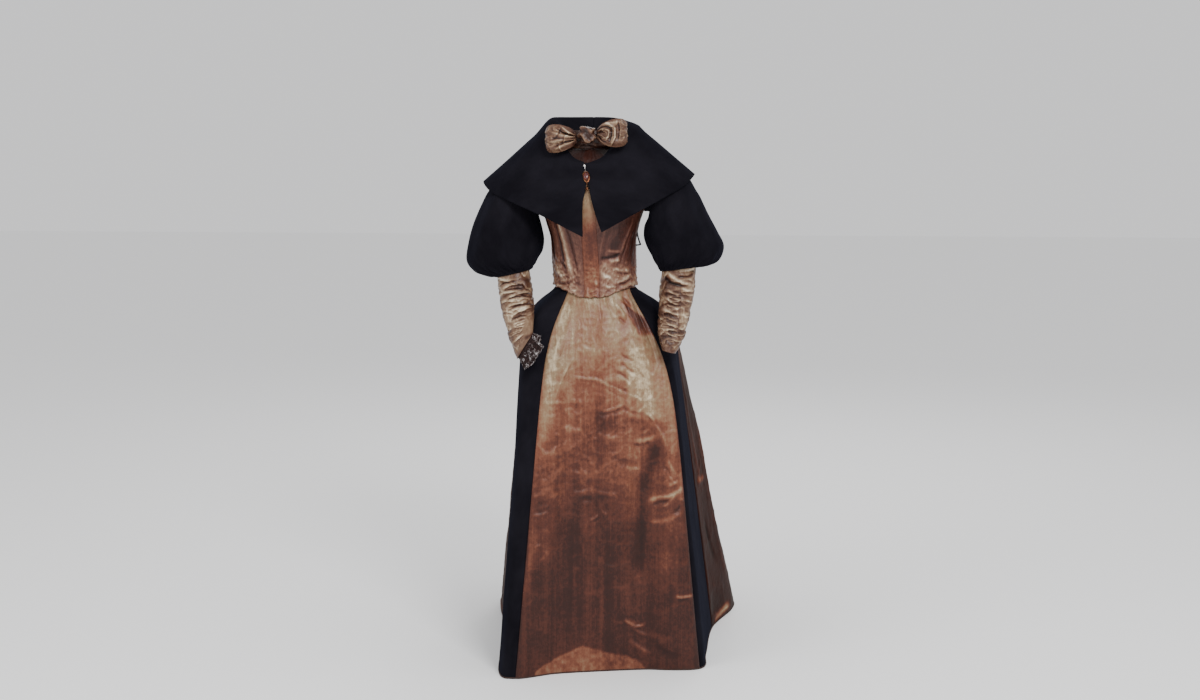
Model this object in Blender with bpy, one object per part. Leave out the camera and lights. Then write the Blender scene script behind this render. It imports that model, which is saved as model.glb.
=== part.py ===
"""A two-piece skirt suit of the 1890s in satin and velvet, hollow, as it hangs on its wearer.

Metres, +Z up. The wearer faces -Y and the wearer's left hand is at +X. The tables give heights
above the floor, and the origin is between the shoulders, where the suit is carried.
Each panel is a thin wall worked out from a smooth surface, and panels meet at seams with a small gap.
"""

import math

import bmesh
import bpy
from mathutils import Vector

# Driving dimensions
SHOULDER_HEIGHT = 1.290
WAIST_HEIGHT = 0.970
LEAN = -0.030
SATIN = 0.0015
VELVET = 0.0022
LACE = 0.0012
SEAM = 0.0003
STEP = 0.0015

SATIN_COPPER = ((0.44, 0.25, 0.17), 0.38)
SATIN_PALE = ((0.56, 0.44, 0.33), 0.38)
VELVET_BLACK = ((0.012, 0.012, 0.016), 0.90)
LACE_BROWN = ((0.10, 0.07, 0.06), 0.80)
GOLD = ((0.72, 0.50, 0.22), 0.30)
GARNET = ((0.20, 0.04, 0.04), 0.20)

for old in list(bpy.data.objects):
    bpy.data.objects.remove(old, do_unlink=True)


def mix(a, b, share):
    """The value that lies this share of the way from a to b."""
    return a + (b - a) * share


def smooth(rows, at):
    """The columns of a table at one value of its first column, on a smooth curve through its rows."""
    at = min(max(at, rows[0][0]), rows[-1][0])
    k = 0
    while k < len(rows) - 2 and at > rows[k + 1][0]:
        k += 1
    before, low, high, after = rows[max(k - 1, 0)], rows[k], rows[k + 1], rows[min(k + 2, len(rows) - 1)]
    span = high[0] - low[0]
    t = (at - low[0]) / span
    values = []
    for c in range(1, len(low)):
        leave = (high[c] - before[c]) / (high[0] - before[0]) * span
        reach = (after[c] - low[c]) / (after[0] - low[0]) * span
        values.append((2 * t**3 - 3 * t**2 + 1) * low[c] + (t**3 - 2 * t**2 + t) * leave
                      + (3 * t**2 - 2 * t**3) * high[c] + (t**3 - t**2) * reach)
    return values


def around(points, u):
    """A point on the smooth closed curve through the points, where u counts them."""
    k = math.floor(u)
    t = u - k
    a, b, c, d = (points[(k + j) % len(points)] for j in (-1, 0, 1, 2))
    return (b * 2 + (c - a) * t + (a * 2 - b * 5 + c * 4 - d) * t**2
            + (b * 3 - a - c * 3 + d) * t**3) * 0.5


def settle(point):
    """Takes a point from heights above the floor to the frame, leaning with the upper body."""
    x, y, height = point
    return Vector((x + LEAN * max(0.0, height - WAIST_HEIGHT), y, height - SHOULDER_HEIGHT))


def normal(surface, u, h, du, dh):
    """The surface's outward normal, where u runs to the wearer's left across the front and h upward."""
    across = surface(u + du, h) - surface(u - du, h)
    along = surface(u, h + dh) - surface(u, h - dh)
    return across.cross(along).normalized()


def material(name, finish):
    """The named material, made once from its colour and roughness."""
    found = bpy.data.materials.get(name)
    if found:
        return found
    made = bpy.data.materials.new(name)
    made.use_nodes = True
    shader = made.node_tree.nodes["Principled BSDF"]
    shader.inputs["Base Color"].default_value = (*finish[0], 1.0)
    shader.inputs["Roughness"].default_value = finish[1]
    shader.inputs["Metallic"].default_value = 1.0 if finish is GOLD else 0.0
    return made


def body(name, outer, inner, finish, ring=False):
    """A closed wall between two grids of points. A ring's last column joins its first."""
    shape = bmesh.new()
    rows, columns = len(outer), len(outer[0])
    faces = [[[shape.verts.new(p) for p in row] for row in grid] for grid in (outer, inner)]
    last = columns if ring else columns - 1
    for r in range(rows - 1):
        for c in range(last):
            n = (c + 1) % columns
            for side in faces:
                shape.faces.new((side[r][c], side[r][n], side[r + 1][n], side[r + 1][c]))
    for r in (0, rows - 1):
        for c in range(last):
            n = (c + 1) % columns
            shape.faces.new((faces[0][r][c], faces[0][r][n], faces[1][r][n], faces[1][r][c]))
    if not ring:
        for c in (0, columns - 1):
            for r in range(rows - 1):
                shape.faces.new((faces[0][r][c], faces[0][r + 1][c], faces[1][r + 1][c], faces[1][r][c]))
    bmesh.ops.recalc_face_normals(shape, faces=shape.faces)
    mesh = bpy.data.meshes.new(name)
    shape.to_mesh(mesh)
    shape.free()
    mesh.materials.append(material(*finish))
    mesh.shade_smooth()
    made = bpy.data.objects.new(name, mesh)
    bpy.context.scene.collection.objects.link(made)
    return made


def panel(name, surface, left, right, levels, columns, thick, finish, du, relief=None):
    """A cut panel of a surface between two seams. left and right give u at a height, and a level is
    a height or a function of u. relief raises the outer points over the plain inside."""
    outer, inner = [], []
    for level in levels:
        outer.append([])
        inner.append([])
        for c in range(columns + 1):
            h = level if isinstance(level, float) else level(0.0)
            for _ in range(6):
                u = mix(left(h), right(h), c / columns)
                h = level if isinstance(level, float) else level(u)
            width = (surface(u + du, h) - surface(u - du, h)).length / (2 * du)
            if c in (0, columns):
                u += math.copysign(SEAM / 2 / width, 1 if c == 0 else -1)
            point = surface(u, h)
            out = normal(surface, u, h, du, STEP)
            outer[-1].append(settle(point + out * (relief(u, h) if relief else 0.0)))
            inner[-1].append(settle(point - out * thick))
    return body(name, outer, inner, finish)


# Skirt: seven gores and a waistband. Each line runs down the skirt from the waist to the hem. Its
# angle is its place on the waist, hip the share of its flare it takes at once, spring how soon.
WAIST_HALF_WIDTH = 0.1045
WAIST_DEPTH = 0.0810
BAND_TOP = 1.000
SPRING_CURVE = 1.4
SKIRT_LINES = [
    # name, waist angle, hem x, hem y, hip, spring
    ("centre_front", 12, 0.030, -0.178, 0.34, 0.10),
    ("front_mid_left", 38, 0.150, -0.150, 0.42, 0.11),
    ("front_seam_left", 63, 0.284, -0.130, 0.50, 0.14),
    ("velvet_left", 80, 0.293, 0.000, 0.44, 0.06),
    ("side_seam_left", 98, 0.300, 0.250, 0.42, 0.05),
    ("gore_left", 122, 0.352, 0.520, 0.31, 0.08),
    ("back_seam_left", 148, 0.240, 0.700, 0.30, 0.08),
    ("centre_back", 180, 0.000, 0.760, 0.28, 0.08),
    ("back_seam_right", 212, -0.235, 0.690, 0.30, 0.08),
    ("gore_right", 238, -0.325, 0.480, 0.40, 0.08),
    ("side_seam_right", 270, -0.268, 0.160, 0.51, 0.05),
    ("velvet_right", 298, -0.226, -0.205, 0.50, 0.06),
    ("front_seam_right", 323, -0.175, -0.262, 0.35, 0.10),
    ("front_mid_right", 346, -0.083, -0.212, 0.36, 0.10),
]
LINE = {row[0]: k for k, row in enumerate(SKIRT_LINES)}
LINES = len(SKIRT_LINES)
SKIRT_LEVELS = [0.0, 0.07, 0.16, 0.26, 0.37, 0.48, 0.59, 0.69, 0.78, 0.85, 0.90, 0.930, 0.952, WAIST_HEIGHT]
FLUTES = 5
FLUTE_DEPTH_WAIST = 0.0012
FLUTE_DEPTH_HEM = 0.036
SKIRT_FOLDS = [
    # top u, top height, low u, low height, half width, rise
    (1.55, 0.945, 1.35, 0.80, 0.16, 0.012),
    (1.85, 0.915, 1.72, 0.80, 0.12, -0.010),
    (1.05, 0.60, 0.78, 0.30, 0.22, -0.012),
    (0.20, 0.90, 0.05, 0.55, 0.30, 0.005),
    (-1.30, 0.80, -1.30, 0.10, 0.25, 0.006),
    (1.45, 0.30, 1.35, 0.02, 0.25, 0.008),
]


def waist_point(angle, half_width=WAIST_HALF_WIDTH, depth=WAIST_DEPTH):
    """A point on the waist's oval, at an angle from the centre front towards the wearer's left."""
    a = math.radians(angle)
    return Vector((half_width * math.sin(a), -depth * math.cos(a), 0.0))


def fold_rise(folds, u, h):
    """What soft folds add at a point: each runs from its top to its low end and fades at both."""
    rise = 0.0
    for top_u, top_h, low_u, low_h, half_width, height in folds:
        along = (top_h - h) / (top_h - low_h)
        if -0.25 < along < 1.25:
            fade = math.sin(math.pi * min(max((along + 0.25) / 1.5, 0.0), 1.0))
            off = (u - mix(top_u, low_u, along)) / half_width
            rise += height * fade * math.exp(-off * off)
    return rise


def flute_depth(u, h):
    """The round pleats of the back, between the back seams, deeper towards the hem."""
    start, end = LINE["back_seam_left"], LINE["back_seam_right"]
    share = (u - start) / (end - start)
    if not 0.0 < share < 1.0:
        return 0.0
    down = max(0.0, (WAIST_HEIGHT - h) / WAIST_HEIGHT)
    return mix(FLUTE_DEPTH_WAIST, FLUTE_DEPTH_HEM, down**0.8) * math.sin(math.pi * FLUTES * share) ** 2


def skirt_plain(u, h):
    """The skirt's surface without folds."""
    down = (WAIST_HEIGHT - h) / WAIST_HEIGHT
    ring = []
    for _, angle, hem_x, hem_y, hip, spring in SKIRT_LINES:
        sprung = 1.0 - math.exp(-((max(down, 0.0) / spring) ** SPRING_CURVE))
        top = waist_point(angle)
        ring.append(top + (Vector((hem_x, hem_y, 0.0)) - top) * (hip * sprung + (1 - hip) * down))
    point = around(ring, u)
    return Vector((point.x, point.y, h))


def skirt(u, h):
    """The skirt's surface with its round back pleats and soft front folds."""
    point = skirt_plain(u, h)
    across = skirt_plain(u + 0.05, h) - skirt_plain(u - 0.05, h)
    out = Vector((across.y, -across.x, 0.0)).normalized()
    turned = (u + LINES / 2) % LINES - LINES / 2
    return point + out * (flute_depth(u % LINES, h) + fold_rise(SKIRT_FOLDS, turned, h))


def skirt_gore(name, first, last, columns, thick, finish):
    """One gore, from one named line to another."""
    start, end = LINE[first], LINE[last]
    if end < start:
        start -= LINES
    panel(name, skirt, lambda h: start, lambda h: end, SKIRT_LEVELS, columns, thick, finish, 0.02)


def waistband():
    """The plain band that carries the gores, round the waist under the bodice's edge."""
    count = 32
    outer, inner = [], []
    for height in (WAIST_HEIGHT + SEAM, BAND_TOP):
        angles = [360 * k / count for k in range(count)]
        lift = Vector((0.0, 0.0, height))
        outer.append([settle(waist_point(a) + lift) for a in angles])
        inner.append([settle(waist_point(a, WAIST_HALF_WIDTH - SATIN, WAIST_DEPTH - SATIN) + lift)
                      for a in angles])
    body("skirt_waistband", outer, inner, ("satin_copper", SATIN_COPPER), ring=True)


def build_skirt():
    copper, black = ("satin_copper", SATIN_COPPER), ("velvet_black", VELVET_BLACK)
    skirt_gore("skirt_front_gore", "front_seam_right", "front_seam_left", 20, SATIN, copper)
    skirt_gore("skirt_velvet_left", "front_seam_left", "side_seam_left", 4, VELVET, black)
    skirt_gore("skirt_side_gore_left", "side_seam_left", "back_seam_left", 6, SATIN, copper)
    skirt_gore("skirt_back_left", "back_seam_left", "centre_back", 15, SATIN, copper)
    skirt_gore("skirt_back_right", "centre_back", "back_seam_right", 15, SATIN, copper)
    skirt_gore("skirt_side_gore_right", "back_seam_right", "side_seam_right", 6, SATIN, copper)
    skirt_gore("skirt_velvet_right", "side_seam_right", "front_seam_right", 4, VELVET, black)
    waistband()


# Bodice: a vest, two fronts and two backs round the body, with an armhole each side and a collar.
BODICE_SECTIONS = [
    # height, half width, front depth, back depth
    (0.935, 0.1200, 0.0985, 0.0900),
    (0.950, 0.1150, 0.0932, 0.0872),
    (0.968, 0.1106, 0.0874, 0.0846),
    (1.000, 0.1072, 0.0836, 0.0836),
    (1.035, 0.1080, 0.0900, 0.0864),
    (1.065, 0.1085, 0.0985, 0.0890),
    (1.100, 0.1105, 0.1100, 0.0930),
    (1.160, 0.1280, 0.1260, 0.1030),
    (1.200, 0.1500, 0.1260, 0.1080),
    (1.240, 0.1590, 0.1160, 0.1050),
    (1.275, 0.1480, 0.0990, 0.0950),
    (1.300, 0.1180, 0.0830, 0.0840),
    (1.316, 0.0860, 0.0710, 0.0730),
    (1.325, 0.0650, 0.0650, 0.0650),
]
BODICE_EDGE = 0.977
BODICE_POINT_DIP = 0.028
VEST_HALF_WIDTH = 0.020
VEST_NECK_ANGLE = 9.0
ARMHOLE_HEIGHT = 1.222
ARMHOLE_HALF_HEIGHT = 0.052
ARMHOLE_HALF_ANGLE = 20.0
ARMHOLE_STEPS = (-1.0, -0.81, -0.45, 0.0, 0.45, 0.81, 1.0)
NECK_HEIGHT = 1.325
BODICE_FOLDS = [
    # top angle, top height, low angle, low height, half width in degrees, rise
    (38, 1.14, 15, 0.990, 5.0, 0.0050),
    (62, 1.13, 24, 0.990, 5.0, 0.0045),
    (0, 1.22, 0, 0.97, 4.5, 0.0030),
]
SASH_FOLDS = [
    # angle, height, half width in degrees, half height, rise
    (34, 0.9835, 16, 0.0055, 0.0045),
    (40, 0.9700, 20, 0.0050, 0.0045),
    (-42, 0.9780, 15, 0.0060, 0.0045),
    (66, 0.9900, 12, 0.0060, 0.0040),
    (-8, 0.9640, 12, 0.0050, 0.0035),
]


def bodice(angle, h):
    """The bodice's surface, at an angle from the centre front towards the wearer's left."""
    half_width, front, back = smooth(BODICE_SECTIONS, h)
    a = math.radians(angle)
    depth = front if math.cos(a) > 0 else back
    return Vector((half_width * math.sin(a), -depth * math.cos(a), h))


def bodice_relief(angle, h):
    """The pleats that run from the bust to the point, and the crushed folds round the waist."""
    turned = (angle + 180) % 360 - 180
    rise = fold_rise([row for row in BODICE_FOLDS if row[0]], abs(turned), h)
    rise += fold_rise([row for row in BODICE_FOLDS if not row[0]], turned, h)
    for at, height, half_angle, half_height, up in SASH_FOLDS:
        rise += up * math.exp(-(((turned - at) / half_angle) ** 2) - ((h - height) / half_height) ** 2)
    return rise


def bodice_edge(angle):
    """The height of the bodice's lower edge, which dips to a point in front."""
    turned = (angle + 180) % 360 - 180
    dip = max(0.0, math.cos(math.radians(min(abs(turned) * 1.25, 90)))) ** 2
    return BODICE_EDGE - BODICE_POINT_DIP * dip


def vest_angle(h):
    """Where the vest's seam lies, as an angle from the centre front."""
    half_width = smooth(BODICE_SECTIONS, h)[0]
    return max(math.degrees(math.asin(min(VEST_HALF_WIDTH / half_width, 1.0))), VEST_NECK_ANGLE) \
        if h < ARMHOLE_HEIGHT else VEST_NECK_ANGLE


def armhole_angle(h):
    """Half the armhole's width at a height, in degrees: nothing above and below it."""
    off = (h - ARMHOLE_HEIGHT) / ARMHOLE_HALF_HEIGHT
    return ARMHOLE_HALF_ANGLE * math.sqrt(max(0.0, 1.0 - off * off))


def build_bodice():
    copper = ("satin_copper", SATIN_COPPER)
    levels = [bodice_edge, lambda angle: mix(bodice_edge(angle), 0.996, 0.5), 0.996, 1.013, 1.040, 1.070,
              1.100, 1.135]
    levels += [ARMHOLE_HEIGHT + ARMHOLE_HALF_HEIGHT * step for step in ARMHOLE_STEPS]
    levels += [1.298, 1.314, NECK_HEIGHT]
    panel("bodice_vest", bodice, lambda h: -vest_angle(h), vest_angle, levels, 4, SATIN,
          ("satin_pale", SATIN_PALE), 0.5, bodice_relief)
    for side, sign in (("left", 1), ("right", -1)):
        near, far = (vest_angle, lambda h: 90 - armhole_angle(h))
        back_near, back_far = (lambda h: 90 + armhole_angle(h), lambda h: 180.0)
        if sign < 0:
            near, far = (lambda h: -90 + armhole_angle(h), lambda h: -vest_angle(h))
            back_near, back_far = (lambda h: -180.0, lambda h: -90 - armhole_angle(h))
        panel("bodice_front_" + side, bodice, near, far, levels, 9, SATIN, copper, 0.5, bodice_relief)
        panel("bodice_back_" + side, bodice, back_near, back_far, levels, 7, SATIN, copper, 0.5)


COLLAR_SECTIONS = [
    # height, radius, how far the front stands out
    (NECK_HEIGHT + 0.0005, 0.0655, 0.000),
    (1.338, 0.0630, 0.009),
    (1.356, 0.0622, 0.0118),
    (1.372, 0.0622, 0.007),
]


def build_collar():
    """The satin collar that stands round the neck on the bodice's top edge."""
    count = 32
    outer, inner = [], []
    for height, radius, front in COLLAR_SECTIONS:
        for grid, reach in ((outer, radius), (inner, radius - SATIN)):
            grid.append([])
            for k in range(count):
                a = math.tau * k / count
                out = reach + front * max(0.0, math.cos(a)) ** 2
                grid[-1].append(settle((out * math.sin(a), -out * math.cos(a), height)))
    body("bodice_collar", outer, inner, ("satin_pale", SATIN_PALE), ring=True)


# Cape collar: two velvet halves from the centre front to the centre back, over the sleeve heads.
CAPE_PROFILES = [
    # angle, then radius and height of the neck edge, the roll, the shoulder and the hem
    (0, 0.1000, 1.290, 0.1135, 1.262, 0.1370, 1.205, 0.1430, 1.100),
    (20, 0.0970, 1.303, 0.1120, 1.285, 0.1400, 1.218, 0.1560, 1.128),
    (40, 0.0850, 1.328, 0.1050, 1.325, 0.1440, 1.262, 0.1820, 1.160),
    (60, 0.0700, 1.350, 0.0980, 1.368, 0.1470, 1.315, 0.2260, 1.193),
    (75, 0.0655, 1.364, 0.0970, 1.394, 0.1490, 1.343, 0.2640, 1.218),
    (90, 0.0631, 1.367, 0.0970, 1.404, 0.1500, 1.355, 0.2820, 1.243),
    (110, 0.0631, 1.367, 0.0950, 1.406, 0.1480, 1.350, 0.2550, 1.225),
    (135, 0.0631, 1.367, 0.0920, 1.406, 0.1420, 1.330, 0.2050, 1.185),
    (160, 0.0631, 1.367, 0.0900, 1.406, 0.1350, 1.315, 0.1700, 1.155),
    (180, 0.0631, 1.367, 0.0900, 1.406, 0.1320, 1.310, 0.1620, 1.145),
]
CAPE_STOPS = (0.0, 0.18, 0.48, 1.0)
CAPE_SHARES = [0.0, 0.09, 0.18, 0.30, 0.42, 0.58, 0.78, 1.0]
CAPE_SIDES = {
    # side: sign, reach and lift of the shoulder tip, drop of the roll
    "left": (1, 0.925, 0.022, 0.012),
    "right": (-1, 1.000, 0.000, 0.000),
}
CAPE_FRONT_EDGES = [
    # share, x of the left front edge, x of the right front edge
    (0.00, -0.0070, -0.0085),
    (0.14, -0.0030, -0.0045),
    (0.28, 0.0012, -0.0006),
    (0.42, 0.0075, -0.0040),
    (0.56, 0.0130, -0.0098),
    (1.00, 0.0336, -0.0118),
]


def cape(side, angle, share):
    """The cape's surface: an angle from the centre front, and a share of the way from neck to hem."""
    sign, reach, lift, drop = CAPE_SIDES[side]
    profile = smooth(CAPE_PROFILES, angle)
    stops = [(stop, profile[2 * k], profile[2 * k + 1]) for k, stop in enumerate(CAPE_STOPS)]
    radius, height = smooth(stops, share)
    sideways = math.sin(math.radians(angle)) ** 4
    outward = max(0.0, share - CAPE_STOPS[1]) * sideways
    radius *= mix(1.0, reach, outward)
    height += lift * outward - drop * sideways * math.sin(math.pi * min(share / 0.36, 1.0))
    a = math.radians(angle)
    return Vector((sign * radius * math.sin(a), -radius * math.cos(a), height))


def cape_front_angle(side, share):
    """Where the front edge lies, as an angle from the centre front."""
    left, right = smooth(CAPE_FRONT_EDGES, share)
    x = left if side == "left" else -right
    radius = math.hypot(*cape(side, 0.0, share).xy)
    return math.degrees(math.asin(x / radius))


def build_cape():
    columns = 22
    for side, (sign, *_) in CAPE_SIDES.items():
        outer, inner = [], []
        for share in CAPE_SHARES:
            outer.append([])
            inner.append([])
            for c in range(columns + 1):
                back = 180 - math.degrees(SEAM / 2 / 0.0631)
                angle = mix(cape_front_angle(side, share), back, c / columns)
                point = cape(side, angle, share)
                across = cape(side, angle + 0.5, share) - cape(side, angle - 0.5, share)
                along = cape(side, angle, share + 0.005) - cape(side, angle, share - 0.005)
                out = along.cross(across).normalized() * sign
                outer[-1].append(settle(point))
                inner[-1].append(settle(point - out * VELVET))
        body("cape_" + side, outer, inner, ("velvet_black", VELVET_BLACK))


# Sleeves: a velvet puff down to the elbow and a fitted satin sleeve below it. Each ring leans from
# its inner point, next to the body, to its outer point; x is counted outward from the centre.
PUFF_GATHERS = 9
PUFF_GATHER_DEPTH = 0.0036
ROOT_GAP = 0.0014
PUFF_RINGS = {
    # side: inner x and height, outer x and height, y, half depth
    "right": [
        (0.1500, 1.165, 0.1750, 1.300, 0.000, 0.070),
        (0.1460, 1.152, 0.2150, 1.285, 0.000, 0.082),
        (0.1420, 1.138, 0.2500, 1.245, -0.005, 0.087),
        (0.1350, 1.120, 0.2780, 1.195, -0.010, 0.090),
        (0.1290, 1.095, 0.3060, 1.135, -0.015, 0.092),
        (0.1330, 1.068, 0.3230, 1.080, -0.020, 0.092),
        (0.1440, 1.049, 0.3280, 1.040, -0.025, 0.088),
        (0.1530, 1.036, 0.3100, 1.016, -0.030, 0.075),
        (0.1585, 1.027, 0.2800, 1.004, -0.038, 0.058),
        (0.1612, 1.018, 0.2508, 0.998, -0.045, 0.0436),
    ],
    "left": [
        (0.1500, 1.165, 0.1720, 1.300, 0.000, 0.070),
        (0.1440, 1.150, 0.2080, 1.290, 0.000, 0.082),
        (0.1380, 1.138, 0.2420, 1.260, 0.002, 0.086),
        (0.1320, 1.124, 0.2680, 1.215, 0.004, 0.087),
        (0.1300, 1.102, 0.2930, 1.160, 0.004, 0.087),
        (0.1360, 1.080, 0.3180, 1.112, 0.002, 0.086),
        (0.1460, 1.060, 0.3320, 1.080, 0.000, 0.083),
        (0.1560, 1.043, 0.3200, 1.048, -0.004, 0.074),
        (0.1660, 1.028, 0.2930, 1.032, -0.009, 0.059),
        (0.1716, 1.0145, 0.2644, 1.0288, -0.015, 0.0436),
    ],
}
PUFF_SHARES = [0.0, 0.45, 1.0, 2.0, 3.2, 4.6, 6.0, 7.0, 8.0, 8.7, 9.4, 10.0]
LOWER_RINGS = {
    "right": [
        (0.1640, 1.017, 0.2480, 0.998, -0.045, 0.0405),
        (0.1560, 0.968, 0.2420, 0.960, -0.062, 0.0410),
        (0.1480, 0.935, 0.2310, 0.920, -0.092, 0.0390),
        (0.1430, 0.905, 0.2150, 0.882, -0.122, 0.0350),
        (0.1400, 0.885, 0.1990, 0.845, -0.150, 0.0310),
        (0.1380, 0.868, 0.1770, 0.802, -0.176, 0.0270),
    ],
    "left": [
        (0.1745, 1.0145, 0.2615, 1.0285, -0.015, 0.0405),
        (0.1680, 0.9650, 0.2580, 0.9650, -0.036, 0.0410),
        (0.1700, 0.9280, 0.2520, 0.9280, -0.060, 0.0390),
        (0.1690, 0.8900, 0.2430, 0.8850, -0.082, 0.0350),
        (0.1710, 0.8600, 0.2340, 0.8500, -0.098, 0.0300),
        (0.1830, 0.8220, 0.2150, 0.8140, -0.112, 0.0240),
    ],
}
LOWER_LEVELS = 13
ELBOW_FOLDS = [
    # share of the length, rise, half length, turn of its middle, slant
    (0.07, 0.0040, 0.030, 0.3, 0.020),
    (0.19, 0.0035, 0.028, -0.5, -0.030),
    (0.31, 0.0040, 0.026, 0.6, 0.030),
    (0.44, 0.0032, 0.026, -0.2, -0.020),
    (0.57, 0.0030, 0.026, 0.4, 0.020),
    (0.70, 0.0026, 0.026, 0.0, -0.010),
]


def ring_point(row, turn, sign):
    """A point of a ring. Turn 0 is its outer point, and a quarter turn its front."""
    inner_x, inner_h, outer_x, outer_h, y, half_depth = row
    side = math.cos(turn)
    x = mix(inner_x, outer_x, (1 + side) / 2)
    return Vector((sign * x, y - half_depth * math.sin(turn), mix(inner_h, outer_h, (1 + side) / 2)))


def armhole_point(turn, sign):
    """A point of the sleeve's root, just off the bodice round the armhole."""
    h = ARMHOLE_HEIGHT + (ARMHOLE_HALF_HEIGHT + 0.002) * math.cos(turn)
    angle = 90 - (ARMHOLE_HALF_ANGLE + 0.8) * math.sin(turn)
    out = normal(bodice, angle, h, 0.5, STEP)
    point = bodice(angle, h) + out * ROOT_GAP
    return Vector((sign * point.x, point.y, point.z))


def puff(side, turn, at):
    """The puff's surface at a turn round the arm and a place from the armhole to the elbow seam."""
    sign = 1 if side == "left" else -1
    rows = PUFF_RINGS[side]
    points = [armhole_point(turn, sign)] + [ring_point(row, turn, sign) for row in rows]
    table = [(float(k), *p) for k, p in enumerate(points)]
    point = Vector(smooth(table, at))
    last = len(rows)
    near_elbow = max(0.0, 1 - abs(at - (last - 1.6)) / 1.6)
    near_root = max(0.0, 1 - abs(at - 1.0) / 1.0)
    depth = PUFF_GATHER_DEPTH * (near_elbow + 0.6 * near_root)
    centre = Vector(smooth([(float(k), *((ring_point(r, 0, sign) + ring_point(r, math.pi, sign)) / 2))
                            for k, r in enumerate([rows[0]] + rows)], at))
    out = (point - centre).normalized()
    return point + out * depth * math.cos(PUFF_GATHERS * turn)


def lower_sleeve(side, turn, share):
    """The fitted sleeve's surface, from the elbow seam at 0 to the wrist at 1, with its crush folds."""
    sign = 1 if side == "left" else -1
    rows = LOWER_RINGS[side]
    table = [(k / (len(rows) - 1), *row) for k, row in enumerate(rows)]
    row = smooth(table, share)
    point = ring_point(row, turn, sign)
    centre = (ring_point(row, 0, sign) + ring_point(row, math.pi, sign)) / 2
    rise = 0.0
    for at, up, half, middle, slant in ELBOW_FOLDS:
        off = (share - at - slant * math.cos(turn)) / half
        rise += up * math.exp(-off * off) * (0.6 + 0.4 * math.cos(turn - math.pi / 2 - middle))
    return point + (point - centre).normalized() * rise


def tube_normal(surface, turn, at, last, sign):
    """A tube's outward normal, where turn runs round it, at runs along it and sign is its side."""
    step = last * 0.004
    across = surface(turn + 0.02, at) - surface(turn - 0.02, at)
    along = surface(turn, min(at + step, last)) - surface(turn, max(at - step, 0.0))
    return across.cross(along).normalized() * sign


def tube(name, surface, places, columns, thick, finish, sign):
    """A closed wall round a tube's surface."""
    outer, inner = [], []
    for at in places:
        outer.append([])
        inner.append([])
        for c in range(columns):
            turn = math.tau * c / columns
            point = surface(turn, at)
            out = tube_normal(surface, turn, at, places[-1], sign)
            outer[-1].append(settle(point))
            inner[-1].append(settle(point - out * thick))
    return body(name, outer, inner, finish, ring=True)


def build_sleeves():
    for side, sign in (("left", 1), ("right", -1)):
        tube("puff_sleeve_" + side, lambda turn, at: puff(side, turn, at), PUFF_SHARES,
             PUFF_GATHERS * 4, VELVET, ("velvet_black", VELVET_BLACK), sign)
        places = [k / LOWER_LEVELS for k in range(LOWER_LEVELS + 1)]
        tube("lower_sleeve_" + side, lambda turn, at: lower_sleeve(side, turn, at), places,
             16, SATIN, ("satin_pale", SATIN_PALE), sign)


# Cuff frill: gathered lace that falls out of the right cuff towards the hip.
FRILL_WAVES = 8
FRILL_HIDDEN = 0.14
FRILL_GAP = 0.0014
FRILL_LENGTH = 0.042
FRILL_HANG = Vector((0.0, -0.55, -0.15))
FRILL_SPREAD = 0.004
FRILL_WAVE_DEPTH = 0.0055


def frill(turn, share):
    """The frill's surface, from inside the cuff at 0 to its free edge at 1."""
    inside = min(share / FRILL_HIDDEN, 1.0)
    place = mix(0.95, 1.0, inside)
    out = tube_normal(lambda turned, at: lower_sleeve("right", turned, at), turn, place, 1.0, -1)
    start = lower_sleeve("right", turn, place) - out * (SATIN + FRILL_GAP)
    row = LOWER_RINGS["right"][-1]
    slant = (ring_point(row, 0, -1) - ring_point(row, math.pi, -1)).normalized()
    fall = Vector((slant.z, 0.0, -slant.x)) * math.copysign(1.0, slant.z)
    fall = (fall + FRILL_HANG).normalized()
    free = max(0.0, (share - FRILL_HIDDEN) / (1 - FRILL_HIDDEN))
    rim = (start - (ring_point(row, 0, -1) + ring_point(row, math.pi, -1)) / 2).normalized()
    wave = math.cos(FRILL_WAVES * turn) * FRILL_WAVE_DEPTH * free
    return start + fall * FRILL_LENGTH * free + rim * (FRILL_SPREAD * free + wave)


def build_frill():
    tube("cuff_frill_right", frill, [0.0, FRILL_HIDDEN, 0.42, 0.7, 1.0], FRILL_WAVES * 4, LACE,
         ("lace_brown", LACE_BROWN), -1)


# Bow: two puffed loops and a crushed knot on the front of the collar.
BOW_CENTRE = Vector((0.0, -0.0920, 1.3590))
BOW_LOOP_PATH = [
    # share, out from the centre, forward
    (0.00, 0.0263, 0.0060),
    (0.15, 0.0420, 0.0190),
    (0.35, 0.0700, 0.0250),
    (0.50, 0.0950, 0.0170),
    (0.60, 0.1030, 0.0050),
    (0.72, 0.0930, -0.0050),
    (1.00, 0.0263, -0.0060),
]
BOW_HALF_WIDTHS = [(0.0, 0.014), (0.15, 0.026), (0.35, 0.035), (0.48, 0.034), (0.6, 0.023), (0.75, 0.024), (1.0, 0.014)]
BOW_SIDES = {"left": (1, 0.000, 0.075), "right": (-1, -0.004, -0.055)}
BOW_PLEATS = 3
BOW_PLEAT_DEPTH = 0.0028
BOW_LEVELS = 13
BOW_COLUMNS = 9
KNOT_RADII = (0.0250, 0.0185, 0.0255)
KNOT_FOLDS = 5
KNOT_FOLD_DEPTH = 0.0012


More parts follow.
